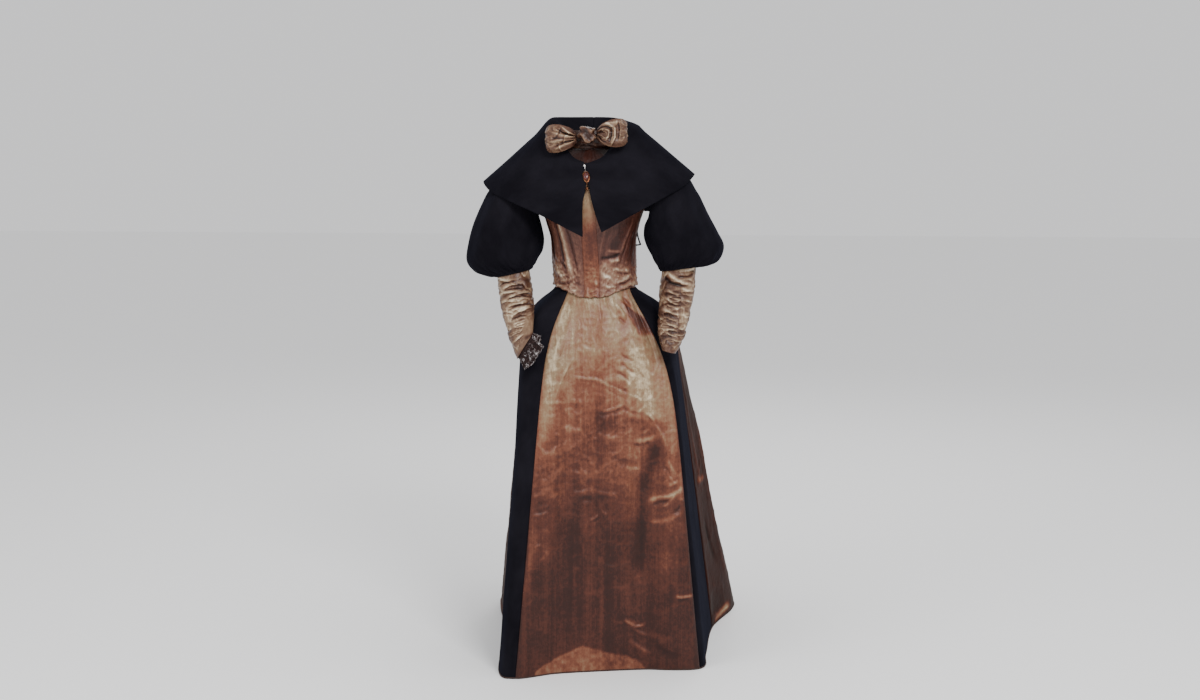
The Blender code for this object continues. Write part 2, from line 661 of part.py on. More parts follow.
def bow_loop(side, share, across):
    """A loop's surface: a share of the way round the loop, and from -1 to 1 across the ribbon."""
    sign, drop, tilt = BOW_SIDES[side]
    out, forward = smooth(BOW_LOOP_PATH, share)
    half = smooth(BOW_HALF_WIDTHS, share)[0]
    full = 1 - abs(2 * share - 1)
    wave = BOW_PLEAT_DEPTH * math.cos(BOW_PLEATS * math.pi * across) * (0.5 + 0.5 * full)
    belly = 0.010 * full * (1 - across * across)
    front = 1.0 if share < 0.6 else -0.2
    shift = Vector((sign * out, -forward - front * (wave + belly), half * across + drop + tilt * out))
    return BOW_CENTRE + shift


def knot_point(corner):
    """A point of the knot, whose folds twist across it."""
    twist = corner.z * 1.1 + math.atan2(corner.x, -corner.y)
    rise = 1 + KNOT_FOLD_DEPTH / KNOT_RADII[0] * math.cos(KNOT_FOLDS * twist)
    return BOW_CENTRE + Vector([a * b * rise for a, b in zip(corner, KNOT_RADII)])


def build_bow():
    pale = ("satin_pale", SATIN_PALE)
    for side in BOW_SIDES:
        outer, inner = [], []
        for r in range(BOW_LEVELS + 1):
            share = r / BOW_LEVELS
            outer.append([])
            inner.append([])
            for c in range(BOW_COLUMNS + 1):
                across = mix(-1.0, 1.0, c / BOW_COLUMNS)
                point = bow_loop(side, share, across)
                along = bow_loop(side, share + 0.01, across) - bow_loop(side, share - 0.01, across)
                width = bow_loop(side, share, across + 0.02) - bow_loop(side, share, across - 0.02)
                out = along.cross(width).normalized()
                if side == "right":
                    out = -out
                outer[-1].append(settle(point))
                inner[-1].append(settle(point + out * SATIN))
        body("bow_loop_" + side, outer, inner, pale)
    shape = bmesh.new()
    bmesh.ops.create_uvsphere(shape, u_segments=20, v_segments=10, radius=1.0)
    for corner in shape.verts:
        corner.co = settle(knot_point(corner.co))
    finish_solid("bow_knot", shape, pale)


# Clasp: a chased setting with a bead at each end, and the stone on it, over the cape's front edges.
CLASP_TOP_SHARE = 0.03
CLASP_LOW_SHARE = 0.40
CLASP_PROFILE = [
    # share of the length, half width, half depth
    (0.00, 0.0004, 0.0004),
    (0.03, 0.0026, 0.0026),
    (0.07, 0.0036, 0.0036),
    (0.11, 0.0026, 0.0026),
    (0.15, 0.0011, 0.0011),
    (0.27, 0.0011, 0.0011),
    (0.31, 0.0050, 0.0014),
    (0.40, 0.0082, 0.0016),
    (0.50, 0.0092, 0.0016),
    (0.60, 0.0082, 0.0016),
    (0.69, 0.0050, 0.0014),
    (0.73, 0.0011, 0.0011),
    (0.85, 0.0011, 0.0011),
    (0.89, 0.0028, 0.0028),
    (0.93, 0.0038, 0.0038),
    (0.97, 0.0028, 0.0028),
    (1.00, 0.0004, 0.0004),
]
CLASP_LIFT = 0.0011
CLASP_PLATE = 0.0016
STONE_BACK = 0.0008
STONE_SHARE = 0.50
STONE_HALF_WIDTH = 0.0068
STONE_HALF_LENGTH = 0.0098
STONE_RISE = 0.0040


def clasp_frame(share):
    """A place on the cape's front edges, its outward direction and its direction down the front."""
    at = mix(CLASP_TOP_SHARE, CLASP_LOW_SHARE, share)
    left, right = smooth(CAPE_FRONT_EDGES, at)
    spot = cape("left", 0.0, at)
    down = (cape("left", 0.0, at + 0.02) - cape("left", 0.0, at - 0.02)).normalized()
    out = down.cross(Vector((1.0, 0.0, 0.0))).normalized()
    return Vector(((left + right) / 2, spot.y, spot.z)), -out if out.y > 0 else out, down


def build_clasp():
    shape = bmesh.new()
    count = 12
    rings = []
    for share, half_width, half_depth in CLASP_PROFILE:
        spot, out, _ = clasp_frame(share)
        rings.append([])
        for k in range(count):
            a = math.tau * k / count
            reach = out * (CLASP_LIFT + half_depth * (1 + math.cos(a)))
            corner = spot + reach + Vector((half_width * math.sin(a), 0.0, 0.0))
            rings[-1].append(shape.verts.new(settle(corner)))
    for upper, lower in zip(rings, rings[1:]):
        for k in range(count):
            n = (k + 1) % count
            shape.faces.new((upper[k], upper[n], lower[n], lower[k]))
    shape.faces.new(rings[0])
    shape.faces.new(rings[-1])
    finish_solid("clasp_setting", shape, ("gold", GOLD))
    shape = bmesh.new()
    bmesh.ops.create_uvsphere(shape, u_segments=16, v_segments=10, radius=1.0)
    spot, out, down = clasp_frame(STONE_SHARE)
    base = spot + out * (CLASP_LIFT + 2 * CLASP_PLATE + SEAM + STONE_BACK)
    for corner in shape.verts:
        x, y, z = corner.co
        rise = STONE_RISE * -y if y < 0 else STONE_BACK * -y
        place = Vector((STONE_HALF_WIDTH * x, 0.0, 0.0)) - down * STONE_HALF_LENGTH * z + out * rise
        corner.co = settle(base + place)
    finish_solid("clasp_stone", shape, ("garnet", GARNET))


# Hanging loop: a small dark ribbon at the left side seam of the bodice.
LOOP_PATH = [
    # out from the bodice, height
    (0.0009, 1.1130),
    (0.0040, 1.1040),
    (0.0085, 1.0930),
    (0.0130, 1.0810),
    (0.0120, 1.0785),
    (0.0060, 1.0775),
    (0.0009, 1.0770),
]
LOOP_HALF_WIDTH = 0.0040


def build_loop():
    """The ribbon goes down and out to a fold, then back to the seam."""
    spots = [bodice(90, h) + Vector((out, 0.0, 0.0)) for out, h in LOOP_PATH]
    inner_spots = []
    for k, spot in enumerate(spots):
        along = spots[min(k + 1, len(spots) - 1)] - spots[max(k - 1, 0)]
        inward = Vector((along.z, 0.0, -along.x)).normalized() * LACE
        if k in (0, len(spots) - 1):
            inward = Vector((0.0, 0.0, -LACE if k == 0 else LACE))
        inner_spots.append(spot + inward)
    widths = [Vector((0.0, LOOP_HALF_WIDTH * side, 0.0)) for side in (-1, 0, 1)]
    outer = [[settle(spot + w) for w in widths] for spot in spots]
    inner = [[settle(spot + w) for w in widths] for spot in inner_spots]
    body("side_loop", outer, inner, ("velvet_black", VELVET_BLACK))


def finish_solid(name, shape, finish):
    """Turns a closed bmesh into a named object."""
    bmesh.ops.recalc_face_normals(shape, faces=shape.faces)
    mesh = bpy.data.meshes.new(name)
    shape.to_mesh(mesh)
    shape.free()
    mesh.materials.append(material(*finish))
    mesh.shade_smooth()
    made = bpy.data.objects.new(name, mesh)
    bpy.context.scene.collection.objects.link(made)
    return made


build_skirt()
build_bodice()
build_collar()
build_cape()
build_sleeves()
build_frill()
build_bow()
build_clasp()
build_loop()
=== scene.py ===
"""A two-piece skirt suit of the 1890s in satin and velvet, hollow, as it hangs on its wearer."""

import math

import bmesh
import bpy
import numpy as np
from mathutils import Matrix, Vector


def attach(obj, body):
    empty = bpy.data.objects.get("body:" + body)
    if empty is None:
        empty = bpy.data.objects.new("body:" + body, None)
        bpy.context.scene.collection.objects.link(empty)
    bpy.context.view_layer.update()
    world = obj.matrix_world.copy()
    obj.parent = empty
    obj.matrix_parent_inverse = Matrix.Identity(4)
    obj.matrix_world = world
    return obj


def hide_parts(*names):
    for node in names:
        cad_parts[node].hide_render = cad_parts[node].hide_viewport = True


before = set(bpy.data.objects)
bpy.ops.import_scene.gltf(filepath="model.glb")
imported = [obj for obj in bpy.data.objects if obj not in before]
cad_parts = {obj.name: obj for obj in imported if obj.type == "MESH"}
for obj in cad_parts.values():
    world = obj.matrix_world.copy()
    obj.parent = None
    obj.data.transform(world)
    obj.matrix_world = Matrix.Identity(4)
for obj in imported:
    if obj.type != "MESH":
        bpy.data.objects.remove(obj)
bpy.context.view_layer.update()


# Camera: it stands 4.45 m in front, a little to the wearer's left and at the height of the chin,
# and looks slightly down on the whole suit.
CAMERA_PLACE = (0.47708, -4.42437, 0.06)
CAMERA_TILT = 83.018
CAMERA_TURN = 6.0
bpy.ops.object.camera_add(location=CAMERA_PLACE, rotation=np.radians((CAMERA_TILT, 0.0, CAMERA_TURN)))
camera = bpy.context.object
camera.data.sensor_width = 36.0
camera.data.lens = 51.71
bpy.context.scene.camera = camera


# Skirt front gore: a broad panel of changeable silk satin, cut on the straight and sewn to a velvet
# panel at each side. It is creased from wear and storage. Its paleness where it catches the light is painted
# light, and its rust below is partly the satin's own colour and partly painted shade.
SHOULDER_HEIGHT = 1.29
WAIST_HEIGHT = 0.97
LEAN = -0.03  # how far the upper body leans to its right for each metre above the waist
SATIN = 0.0012
WAIST_HALF_WIDTH = 0.1045
WAIST_DEPTH = 0.081
SPRING_CURVE = 1.4
SKIRT_LINES = [
    # waist angle, hem x, hem y, hip, spring
    (12, 0.03, -0.178, 0.34, 0.1),
    (38, 0.15, -0.15, 0.42, 0.11),
    (63, 0.284, -0.13, 0.5, 0.14),
    (80, 0.293, 0.0, 0.44, 0.06),
    (98, 0.3, 0.25, 0.42, 0.05),
    (122, 0.352, 0.52, 0.31, 0.08),
    (148, 0.24, 0.7, 0.3, 0.08),
    (180, 0.0, 0.76, 0.28, 0.08),
    (212, -0.235, 0.69, 0.3, 0.08),
    (238, -0.325, 0.48, 0.4, 0.08),
    (270, -0.268, 0.16, 0.51, 0.05),
    (298, -0.226, -0.205, 0.5, 0.06),
    (323, -0.175, -0.262, 0.35, 0.1),
    (346, -0.083, -0.212, 0.36, 0.1),
]
FLUTES = 5
FLUTE_DEPTH_WAIST = 0.0012
FLUTE_DEPTH_HEM = 0.036
SKIRT_FOLDS = [
    # top place round the skirt, top height, low place, low height, half width, rise
    (1.55, 0.945, 1.35, 0.8, 0.16, 0.012),
    (1.85, 0.915, 1.72, 0.8, 0.12, -0.01),
    (1.05, 0.6, 0.78, 0.3, 0.22, -0.012),
    (0.2, 0.9, 0.05, 0.55, 0.3, 0.005),
    (-1.3, 0.8, -1.3, 0.1, 0.25, 0.006),
    (1.45, 0.3, 1.35, 0.02, 0.25, 0.008),
]
FRONT_CREASES = [
    # x and height of one end, x and height of the other, bow in metres, half width and rise in millimetres
    (-0.036, 0.753, 0.012, 0.747, 0.002, 3.0, 2.4),
    (-0.02, 0.745, 0.006, 0.742, 0.001, 2.4, -1.2),
    (0.008, 0.748, 0.044, 0.733, -0.002, 2.6, 2.0),
    (0.042, 0.733, 0.086, 0.709, -0.003, 3.4, 2.6),
    (0.044, 0.723, 0.08, 0.703, 0.002, 3.0, -1.8),
    (0.078, 0.808, 0.108, 0.792, 0.0015, 3.2, -2.6),
    (0.08, 0.787, 0.11, 0.763, 0.003, 4.4, -3.2),
    (0.066, 0.766, 0.098, 0.74, -0.002, 4.0, -3.0),
    (0.046, 0.737, 0.094, 0.717, 0.003, 4.6, -2.6),
    (0.086, 0.778, 0.114, 0.753, 0.003, 3.4, 2.2),
    (0.074, 0.755, 0.101, 0.73, -0.002, 3.2, 2.0),
    (0.026, 0.66, 0.083, 0.675, 0.005, 5.0, -2.6),
    (0.083, 0.675, 0.123, 0.658, 0.003, 4.4, -2.4),
    (0.03, 0.666, 0.086, 0.683, 0.005, 5.0, 1.8),
    (0.104, 0.703, 0.13, 0.69, -0.003, 3.6, 2.4),
    (0.13, 0.692, 0.156, 0.701, 0.002, 3.0, 2.0),
    (0.121, 0.6625, 0.139, 0.68, 0.002, 3.0, 2.2),
    (0.138, 0.66, 0.165, 0.633, -0.004, 3.6, 2.6),
    (0.146, 0.652, 0.16, 0.636, 0.002, 3.0, -2.2),
    (0.164, 0.63, 0.195, 0.573, -0.004, 4.4, 3.2),
    (0.118, 0.588, 0.17, 0.604, 0.006, 7.0, 2.8),
    (0.112, 0.578, 0.15, 0.586, 0.004, 4.0, -2.4),
    (0.126, 0.605, 0.15, 0.618, 0.002, 3.4, 1.8),
    (0.094, 0.52, 0.128, 0.517, 0.002, 3.4, 2.4),
    (0.198, 0.541, 0.222, 0.5, 0.003, 4.0, 2.6),
    (0.188, 0.524, 0.207, 0.497, -0.002, 3.0, -2.0),
    (0.2, 0.506, 0.216, 0.48, 0.002, 3.4, 2.0),
    (-0.042, 0.796, -0.086, 0.691, 0.005, 3.0, 1.5),
    (-0.08, 0.841, -0.087, 0.763, 0.004, 3.4, 1.8),
    (-0.067, 0.834, -0.079, 0.8, -0.002, 3.0, -1.4),
    (-0.09, 0.756, -0.102, 0.69, -0.003, 3.0, -1.3),
    (-0.062, 0.938, -0.078, 0.886, 0.003, 4.0, 2.0),
    (0.021, 0.938, 0.027, 0.898, 0.0005, 1.6, -1.6),
    (0.062, 0.92, 0.073, 0.91, 0.001, 2.4, -2.2),
    (0.071, 0.902, 0.086, 0.887, 0.0015, 3.0, -2.8),
    (0.052, 0.945, 0.066, 0.913, 0.003, 3.6, 2.2),
    (0.06, 0.933, 0.085, 0.899, -0.003, 3.4, 2.4),
    (0.04, 0.948, 0.05, 0.92, 0.002, 3.2, -1.6),
    (0.032, 0.95, 0.036, 0.93, 0.001, 3.0, 1.5),
    (0.078, 0.948, 0.098, 0.929, 0.001, 3.6, -3.4),
    (0.078, 0.938, 0.122, 0.864, 0.0015, 3.0, 1.8),
    (0.104, 0.944, 0.148, 0.886, -0.0015, 3.2, 2.2),
    (0.108, 0.95, 0.12, 0.932, 0.001, 2.4, 1.8),
    (0.118, 0.942, 0.112, 0.926, 0.001, 2.2, -1.4),
    (0.124, 0.932, 0.136, 0.914, 0.001, 2.4, 1.8),
    (0.1, 0.948, 0.116, 0.924, 0.002, 3.4, 2.2),
    (-0.02, 0.83, 0.012, 0.818, 0.003, 7.0, 1.4),
    (0.03, 0.82, 0.033, 0.755, 0.002, 8.0, 1.5),
    (0.12, 0.83, 0.15, 0.74, 0.006, 9.0, 1.0),
    (0.104, 0.842, 0.124, 0.808, 0.002, 3.6, 1.4),
    (0.136, 0.806, 0.148, 0.776, -0.002, 3.4, 1.3),
    (0.118, 0.772, 0.14, 0.748, 0.002, 3.4, -1.4),
    (-0.024, 0.524, -0.005, 0.508, 0.001, 3.2, 2.0),
    (-0.041, 0.461, 0.012, 0.467, 0.004, 6.0, 1.4),
    (0.01, 0.466, 0.07, 0.455, 0.006, 6.0, 1.6),
    (-0.03, 0.45, 0.05, 0.45, 0.006, 9.0, -2.2),
    (0.002, 0.388, 0.022, 0.4, 0.001, 2.2, 2.4),
    (0.012, 0.385, 0.026, 0.393, 0.001, 2.0, -1.4),
    (0.034, 0.41, 0.046, 0.402, 0.001, 2.2, 1.8),
    (0.152, 0.436, 0.197, 0.446, -0.004, 4.6, 3.0),
    (0.195, 0.446, 0.234, 0.469, 0.004, 5.0, 3.2),
    (0.16, 0.426, 0.205, 0.434, -0.003, 4.0, -3.2),
    (0.186, 0.42, 0.213, 0.445, 0.002, 3.6, 3.4),
    (0.228, 0.438, 0.243, 0.443, 0.001, 3.0, 3.0),
    (0.153, 0.381, 0.201, 0.387, 0.002, 4.4, 2.2),
    (0.206, 0.386, 0.232, 0.399, -0.002, 4.0, 2.0),
    (0.214, 0.406, 0.23, 0.423, 0.002, 3.4, -2.4),
    (0.198, 0.475, 0.224, 0.488, 0.002, 4.0, 2.2),
    (-0.138, 0.409, -0.101, 0.414, 0.002, 4.0, 1.9),
    (-0.132, 0.329, -0.117, 0.334, 0.001, 3.4, 1.7),
    (-0.12, 0.29, -0.1, 0.32, 0.002, 5.0, 1.5),
    (-0.15, 0.18, -0.132, 0.206, 0.002, 4.4, 1.4),
    (0.223, 0.192, 0.237, 0.187, 0.001, 2.6, 3.0),
    (0.236, 0.187, 0.262, 0.193, 0.001, 2.6, 3.2),
    (0.228, 0.183, 0.252, 0.185, 0.001, 2.6, -2.0),
    (0.091, 0.131, 0.118, 0.112, 0.001, 3.0, 3.2),
    (0.117, 0.112, 0.139, 0.1165, 0.001, 2.8, 2.8),
    (0.112, 0.109, 0.149, 0.089, 0.002, 4.0, 2.4),
    (0.12, 0.119, 0.135, 0.121, 0.001, 2.4, -1.6),
    (0.109, 0.074, 0.157, 0.043, 0.003, 6.0, 2.4),
    (0.062, 0.127, 0.088, 0.122, 0.001, 3.4, 1.5),
    (0.15, 0.1, 0.21, 0.08, 0.005, 10.0, 2.0),
    (0.175, 0.06, 0.23, 0.038, 0.005, 9.0, -2.0),
    (-0.11, 0.56, -0.05, 0.588, 0.005, 9.0, 1.6),
    (-0.118, 0.49, -0.06, 0.535, 0.005, 8.0, 1.5),
    (0.02, 0.61, 0.07, 0.595, 0.004, 8.0, 1.5),
    (0.06, 0.55, 0.11, 0.535, 0.005, 7.0, -1.5),
    (-0.06, 0.63, -0.02, 0.618, 0.004, 7.0, 1.4),
]
# Painted highlights and painted shade on the front gore's folds and swells, with a few broad bands of the
# satin's own colour, laid as strokes.
FRONT_LIGHT_SHADE_AND_TONES = [
    # x and height of one end, x and height of the other, bow, half width in millimetres, how much paler
    (0.1, 0.85, 0.165, 0.69, 0.01, 38.0, 0.05),
    (0.106, 0.946, 0.142, 0.906, 0.0, 6.0, 0.13),
    (-0.06, 0.93, -0.11, 0.76, 0.0, 14.0, 0.08),
    (0.13, 0.76, 0.175, 0.65, 0.0, 24.0, 0.08),
    (0.124, 0.692, 0.186, 0.642, 0.0, 13.0, 0.1),
    (0.07, 0.656, 0.15, 0.634, 0.004, 9.0, -0.07),
    (-0.102, 0.72, -0.138, 0.55, 0.0, 15.0, 0.09),
    (-0.085, 0.82, -0.118, 0.56, 0.0, 16.0, 0.14),
    (-0.03, 0.93, -0.035, 0.8, 0.0, 34.0, 0.05),
    (0.0, 0.77, 0.03, 0.55, 0.0, 36.0, -0.1),
    (0.045, 0.83, 0.075, 0.71, 0.006, 20.0, -0.1),
    (0.14, 0.63, 0.19, 0.53, 0.0, 26.0, -0.09),
    (0.02, 0.64, 0.14, 0.62, 0.0, 18.0, -0.1),
    (0.118, 0.59, 0.168, 0.604, 0.006, 9.0, 0.08),
    (0.165, 0.58, 0.14, 0.46, 0.0, 17.0, -0.22),
    (0.14, 0.46, 0.128, 0.26, 0.0, 17.0, -0.16),
    (0.152, 0.437, 0.232, 0.462, 0.005, 10.0, 0.16),
    (0.16, 0.384, 0.215, 0.39, 0.0, 14.0, 0.1),
    (0.223, 0.19, 0.262, 0.19, 0.0, 5.0, 0.26),
    (0.095, 0.127, 0.139, 0.115, 0.0, 6.0, 0.2),
    (-0.155, 0.2, -0.13, 0.37, 0.0, 11.0, 0.12),
    (-0.13, 0.48, -0.06, 0.46, 0.0, 26.0, 0.08),
    (-0.045, 0.39, -0.06, 0.12, 0.0, 26.0, -0.07),
    (0.06, 0.34, 0.05, 0.14, 0.0, 20.0, -0.05),
    (0.19, 0.32, 0.215, 0.22, 0.0, 18.0, 0.07),
]
# The satin's tone by height, paler upwards as painted light from above.
FRONT_TONE_AND_LIGHT_HEIGHTS = [(0.0, 0.32), (0.15, 0.32), (0.3, 0.34), (0.42, 0.41), (0.52, 0.49), (0.62, 0.57),
                      (0.74, 0.68), (0.86, 0.76), (0.97, 0.77)]
FRONT_COLUMNS, FRONT_ROWS = 170, 270
WAIST_FOLD_HEIGHT = 0.93
WAIST_FOLD_FOOT = 0.85
WAIST_FOLD_SIDES = ((0.0765, 0.59), (0.09, 1.25))  # x at the fold's height and slope of each side
SHADE_EDGE = 0.005
HEM_LIGHT = [(-0.135, -0.01), (-0.126, 0.016), (-0.07, 0.046), (-0.015, 0.068), (0.03, 0.058),
             (0.06, 0.05), (0.1, 0.04), (0.125, 0.028), (0.145, 0.004), (0.15, -0.01)]
SATIN_COLOURS = [(0.0, (0.005, 0.0016, 0.0012)), (0.3, (0.027, 0.0062, 0.0036)),
                 (0.46, (0.072, 0.0185, 0.01)), (0.6, (0.145, 0.045, 0.023)),
                 (0.72, (0.19, 0.095, 0.052)), (0.84, (0.23, 0.156, 0.088)),
                 (1.0, (0.49, 0.395, 0.265))]


def smooth(stops, values, at):
    """The values on a smooth curve through a table, at one or many places along its stops."""
    stops, values, at = np.asarray(stops, float), np.asarray(values, float), np.asarray(at, float)
    at = np.clip(at, stops[0], stops[-1])
    k = np.clip(np.searchsorted(stops, at) - 1, 0, len(stops) - 2)
    before, after = np.maximum(k - 1, 0), np.minimum(k + 2, len(stops) - 1)
    wide = at.shape + (1,) * (values.ndim - 1)
    span = stops[k + 1] - stops[k]
    t = ((at - stops[k]) / span).reshape(wide)
    leave = (values[k + 1] - values[before]) * (span / (stops[k + 1] - stops[before])).reshape(wide)
    reach = (values[after] - values[k]) * (span / (stops[after] - stops[k])).reshape(wide)
    return ((2 * t**3 - 3 * t**2 + 1) * values[k] + (t**3 - 2 * t**2 + t) * leave
            + (3 * t**2 - 2 * t**3) * values[k + 1] + (t**3 - t**2) * reach)


def strokes(rows, across, up, unit=(1.0, 1.0), flank=1.0):
    """What the listed strokes add up to at places on the cloth. Each fades at its ends and sides, and
    a flank over 1 makes one side steeper. unit gives the metres of cloth in one step across and up."""
    total = np.zeros(np.broadcast(across, up).shape)
    for a, b, c, d, bow, half, amount in rows:
        run_a, run_b = (c - a) * unit[0], (d - b) * unit[1]
        run = math.hypot(run_a, run_b)
        from_a, from_b = (across - a) * unit[0], (up - b) * unit[1]
        t = (from_a * run_a + from_b * run_b) / run**2
        off = ((from_a * run_b - from_b * run_a) / run - 4 * bow * t * (1 - t)) * 1000 / half
        off = np.where(off > 0, off / math.sqrt(flank), off * math.sqrt(flank))
        ends = np.clip((t + 0.2) / 0.4, 0, 1) * np.clip((1.2 - t) / 0.4, 0, 1)
        total += amount * np.exp(-np.clip(off * off, 0, 30)) * ends * ends * (3 - 2 * ends)
    return total


def lumps(across, up, size, seed):
    """Smooth unevenness from -1 to 1 over the cloth, in lumps of one size."""
    count = 61
    heights = np.random.default_rng(seed).uniform(-1, 1, (count, count))
    a, b = across / size, up / size
    i, j = np.floor(a).astype(int), np.floor(b).astype(int)
    s, t = a - i, b - j
    s, t = s * s * (3 - 2 * s), t * t * (3 - 2 * t)
    i, j, next_i, next_j = i % count, j % count, (i + 1) % count, (j + 1) % count
    low = heights[i, j] * (1 - s) + heights[next_i, j] * s
    high = heights[i, next_j] * (1 - s) + heights[next_i, next_j] * s
    return low * (1 - t) + high * t


def crushed(across, up, size, seed):
    """A net of fine sharp ridges, as in crushed silk, from 0 to 1."""
    bent = across + 0.3 * size * lumps(across, up, size * 1.3, seed + 1)
    return np.clip(1 - 2.2 * np.abs(lumps(bent, up, size, seed)), 0, 1) ** 2


def settle(points):
    """Takes points from heights above the floor to the frame, leaning with the upper body."""
    x, y, height = points[..., 0], points[..., 1], points[..., 2]
    return np.stack((x + LEAN * np.maximum(0.0, height - WAIST_HEIGHT), y, height - SHOULDER_HEIGHT), -1)


def outward(points, ring=False, flip=False):
    """The direction out of the cloth at each point of a grid, whose rows go up and columns across."""
    if ring:
        across = np.roll(points, -1, axis=1) - np.roll(points, 1, axis=1)
    else:
        across = np.gradient(points, axis=1)
    out = np.cross(across, np.gradient(points, axis=0))
    out /= np.linalg.norm(out, axis=2, keepdims=True) + 1e-12
    return -out if flip else out


def cloth(name, points, rise, thick, material, tone=None, ring=False, flip=False, seam=0.001):
    """A sheet of cloth over a grid of points, raised by its creases, with sewn edges that sink a little."""
    rows, columns = points.shape[:2]
    closing = points[:, :1] if ring else points[:, -1:]
    step_across = np.linalg.norm(np.diff(points, axis=1, append=closing), axis=2)
    step_up = np.linalg.norm(np.diff(points, axis=0), axis=2)
    along = np.vstack((np.zeros((1, columns)), np.cumsum(step_up, axis=0)))
    girth = np.cumsum(step_across, axis=1) - step_across
    if not ring:
        edge = np.minimum(girth, girth[:, -1:] - girth)
        rise = rise * (1 - np.exp(-((edge / 0.006) ** 2))) - seam * np.exp(-((edge / 0.0025) ** 2))
    shaped = settle(points + outward(points, ring, flip) * rise[..., None])
    last = columns if ring else columns - 1
    r, c = np.meshgrid(np.arange(rows - 1), np.arange(last), indexing="ij")
    n = (c + 1) % columns
    corners = [r * columns + c, r * columns + n, (r + 1) * columns + n, (r + 1) * columns + c]
    faces = np.stack(corners[::-1] if flip else corners, -1).reshape(-1, 4)
    mesh = bpy.data.meshes.new(name)
    mesh.from_pydata(shaped.reshape(-1, 3).tolist(), [], faces.tolist())
    middle = 0 if ring else girth[:, -1:] / 2
    place = np.stack((girth - middle, along), -1).reshape(-1, 2)[faces.reshape(-1)]
    if ring:
        closing_face = np.repeat((faces % columns).max(axis=1) == columns - 1, 4)
        wrap = (faces.reshape(-1) % columns == 0) & closing_face
        total = (girth[:, -1] + step_across[:, -1])[faces.reshape(-1) // columns]
        place[:, 0] += np.where(wrap, total, 0.0)
    mesh.uv_layers.new(name="cloth").data.foreach_set("uv", place.astype(np.float32).ravel())
    # fold shading, painted into the colour: darker in troughs, paler on ridges and on slopes that face up to
    # the light
    climb = np.gradient(rise, axis=0) / (np.gradient(along, axis=0) + 1e-9)
    climb *= 1.0 if points[-1, :, 2].mean() > points[0, :, 2].mean() else -1.0
    fold_shading = np.clip(rise * 1000 - 4.5 * climb, -7, 7)
    for key, values in (("fold_shading", fold_shading), ("tone", np.full(rise.shape, 0.5) if tone is None else tone)):
        held = mesh.attributes.new(key, "FLOAT", "POINT").data
        held.foreach_set("value", values.astype(np.float32).ravel())
    mesh.shade_smooth()
    made = piece(name, mesh, material)
    wall = made.modifiers.new("wall", "SOLIDIFY")
    wall.thickness, wall.offset = thick, -1.0
    return made


def piece(name, form, material):
    """A new piece, from its mesh or curve and its material."""
    form.materials.append(material)
    made = bpy.data.objects.new(name, form)
    bpy.context.scene.collection.objects.link(made)
    return made


def new_finish(name):
    """A new material, its shader nodes and the shader that they end in."""
    made = bpy.data.materials.new(name)
    made.use_nodes = True
    return made, made.node_tree, made.node_tree.nodes["Principled BSDF"]


def join(tree, made, inputs):
    """Joins a shader node's inputs to sockets, or sets them to values."""
    for key, value in inputs.items():
        if isinstance(value, bpy.types.NodeSocket):
            tree.links.new(value, made.inputs[key])
        else:
            made.inputs[key].default_value = value


def node(tree, kind, inputs=None, **settings):
    """A shader node with its settings and its inputs."""
    made = tree.nodes.new("ShaderNode" + kind)
    for key, value in settings.items():
        setattr(made, key, value)
    join(tree, made, inputs or {})
    return made


def calc(tree, operation, first, second):
    """The result of a sum on two sockets or numbers."""
    return node(tree, "Math", {0: first, 1: second}, operation=operation).outputs[0]


def grain(tree, across, up, detail=3.0, rough=0.6):
    """Noise over the cloth, with so many lumps to a metre across the cloth and up it."""
    where = node(tree, "Mapping", {"Vector": node(tree, "UVMap", uv_map="cloth").outputs[0],
                                   "Scale": (across, up, 1.0)}).outputs[0]
    noise = {"Vector": where, "Scale": 1.0, "Detail": detail, "Roughness": rough}
    return node(tree, "TexNoise", noise).outputs["Fac"]


def bump(tree, height, distance, strength=1.0, under=None):
    """A surface raised by a height, on top of the one under it."""
    inputs = {"Height": height, "Distance": distance, "Strength": strength}
    return node(tree, "Bump", inputs | ({"Normal": under} if under else {})).outputs[0]


def two_tone(tree, value, low_at, low, high_at, high):
    """A colour that turns from low to high as the value goes from low_at to high_at."""
    ramp = node(tree, "ValToRGB", {"Fac": value})
    for stop, at, colour in zip(ramp.color_ramp.elements, (low_at, high_at), (low, high)):
        stop.position, stop.color = at, (*colour, 1.0)
    return ramp.outputs["Color"]


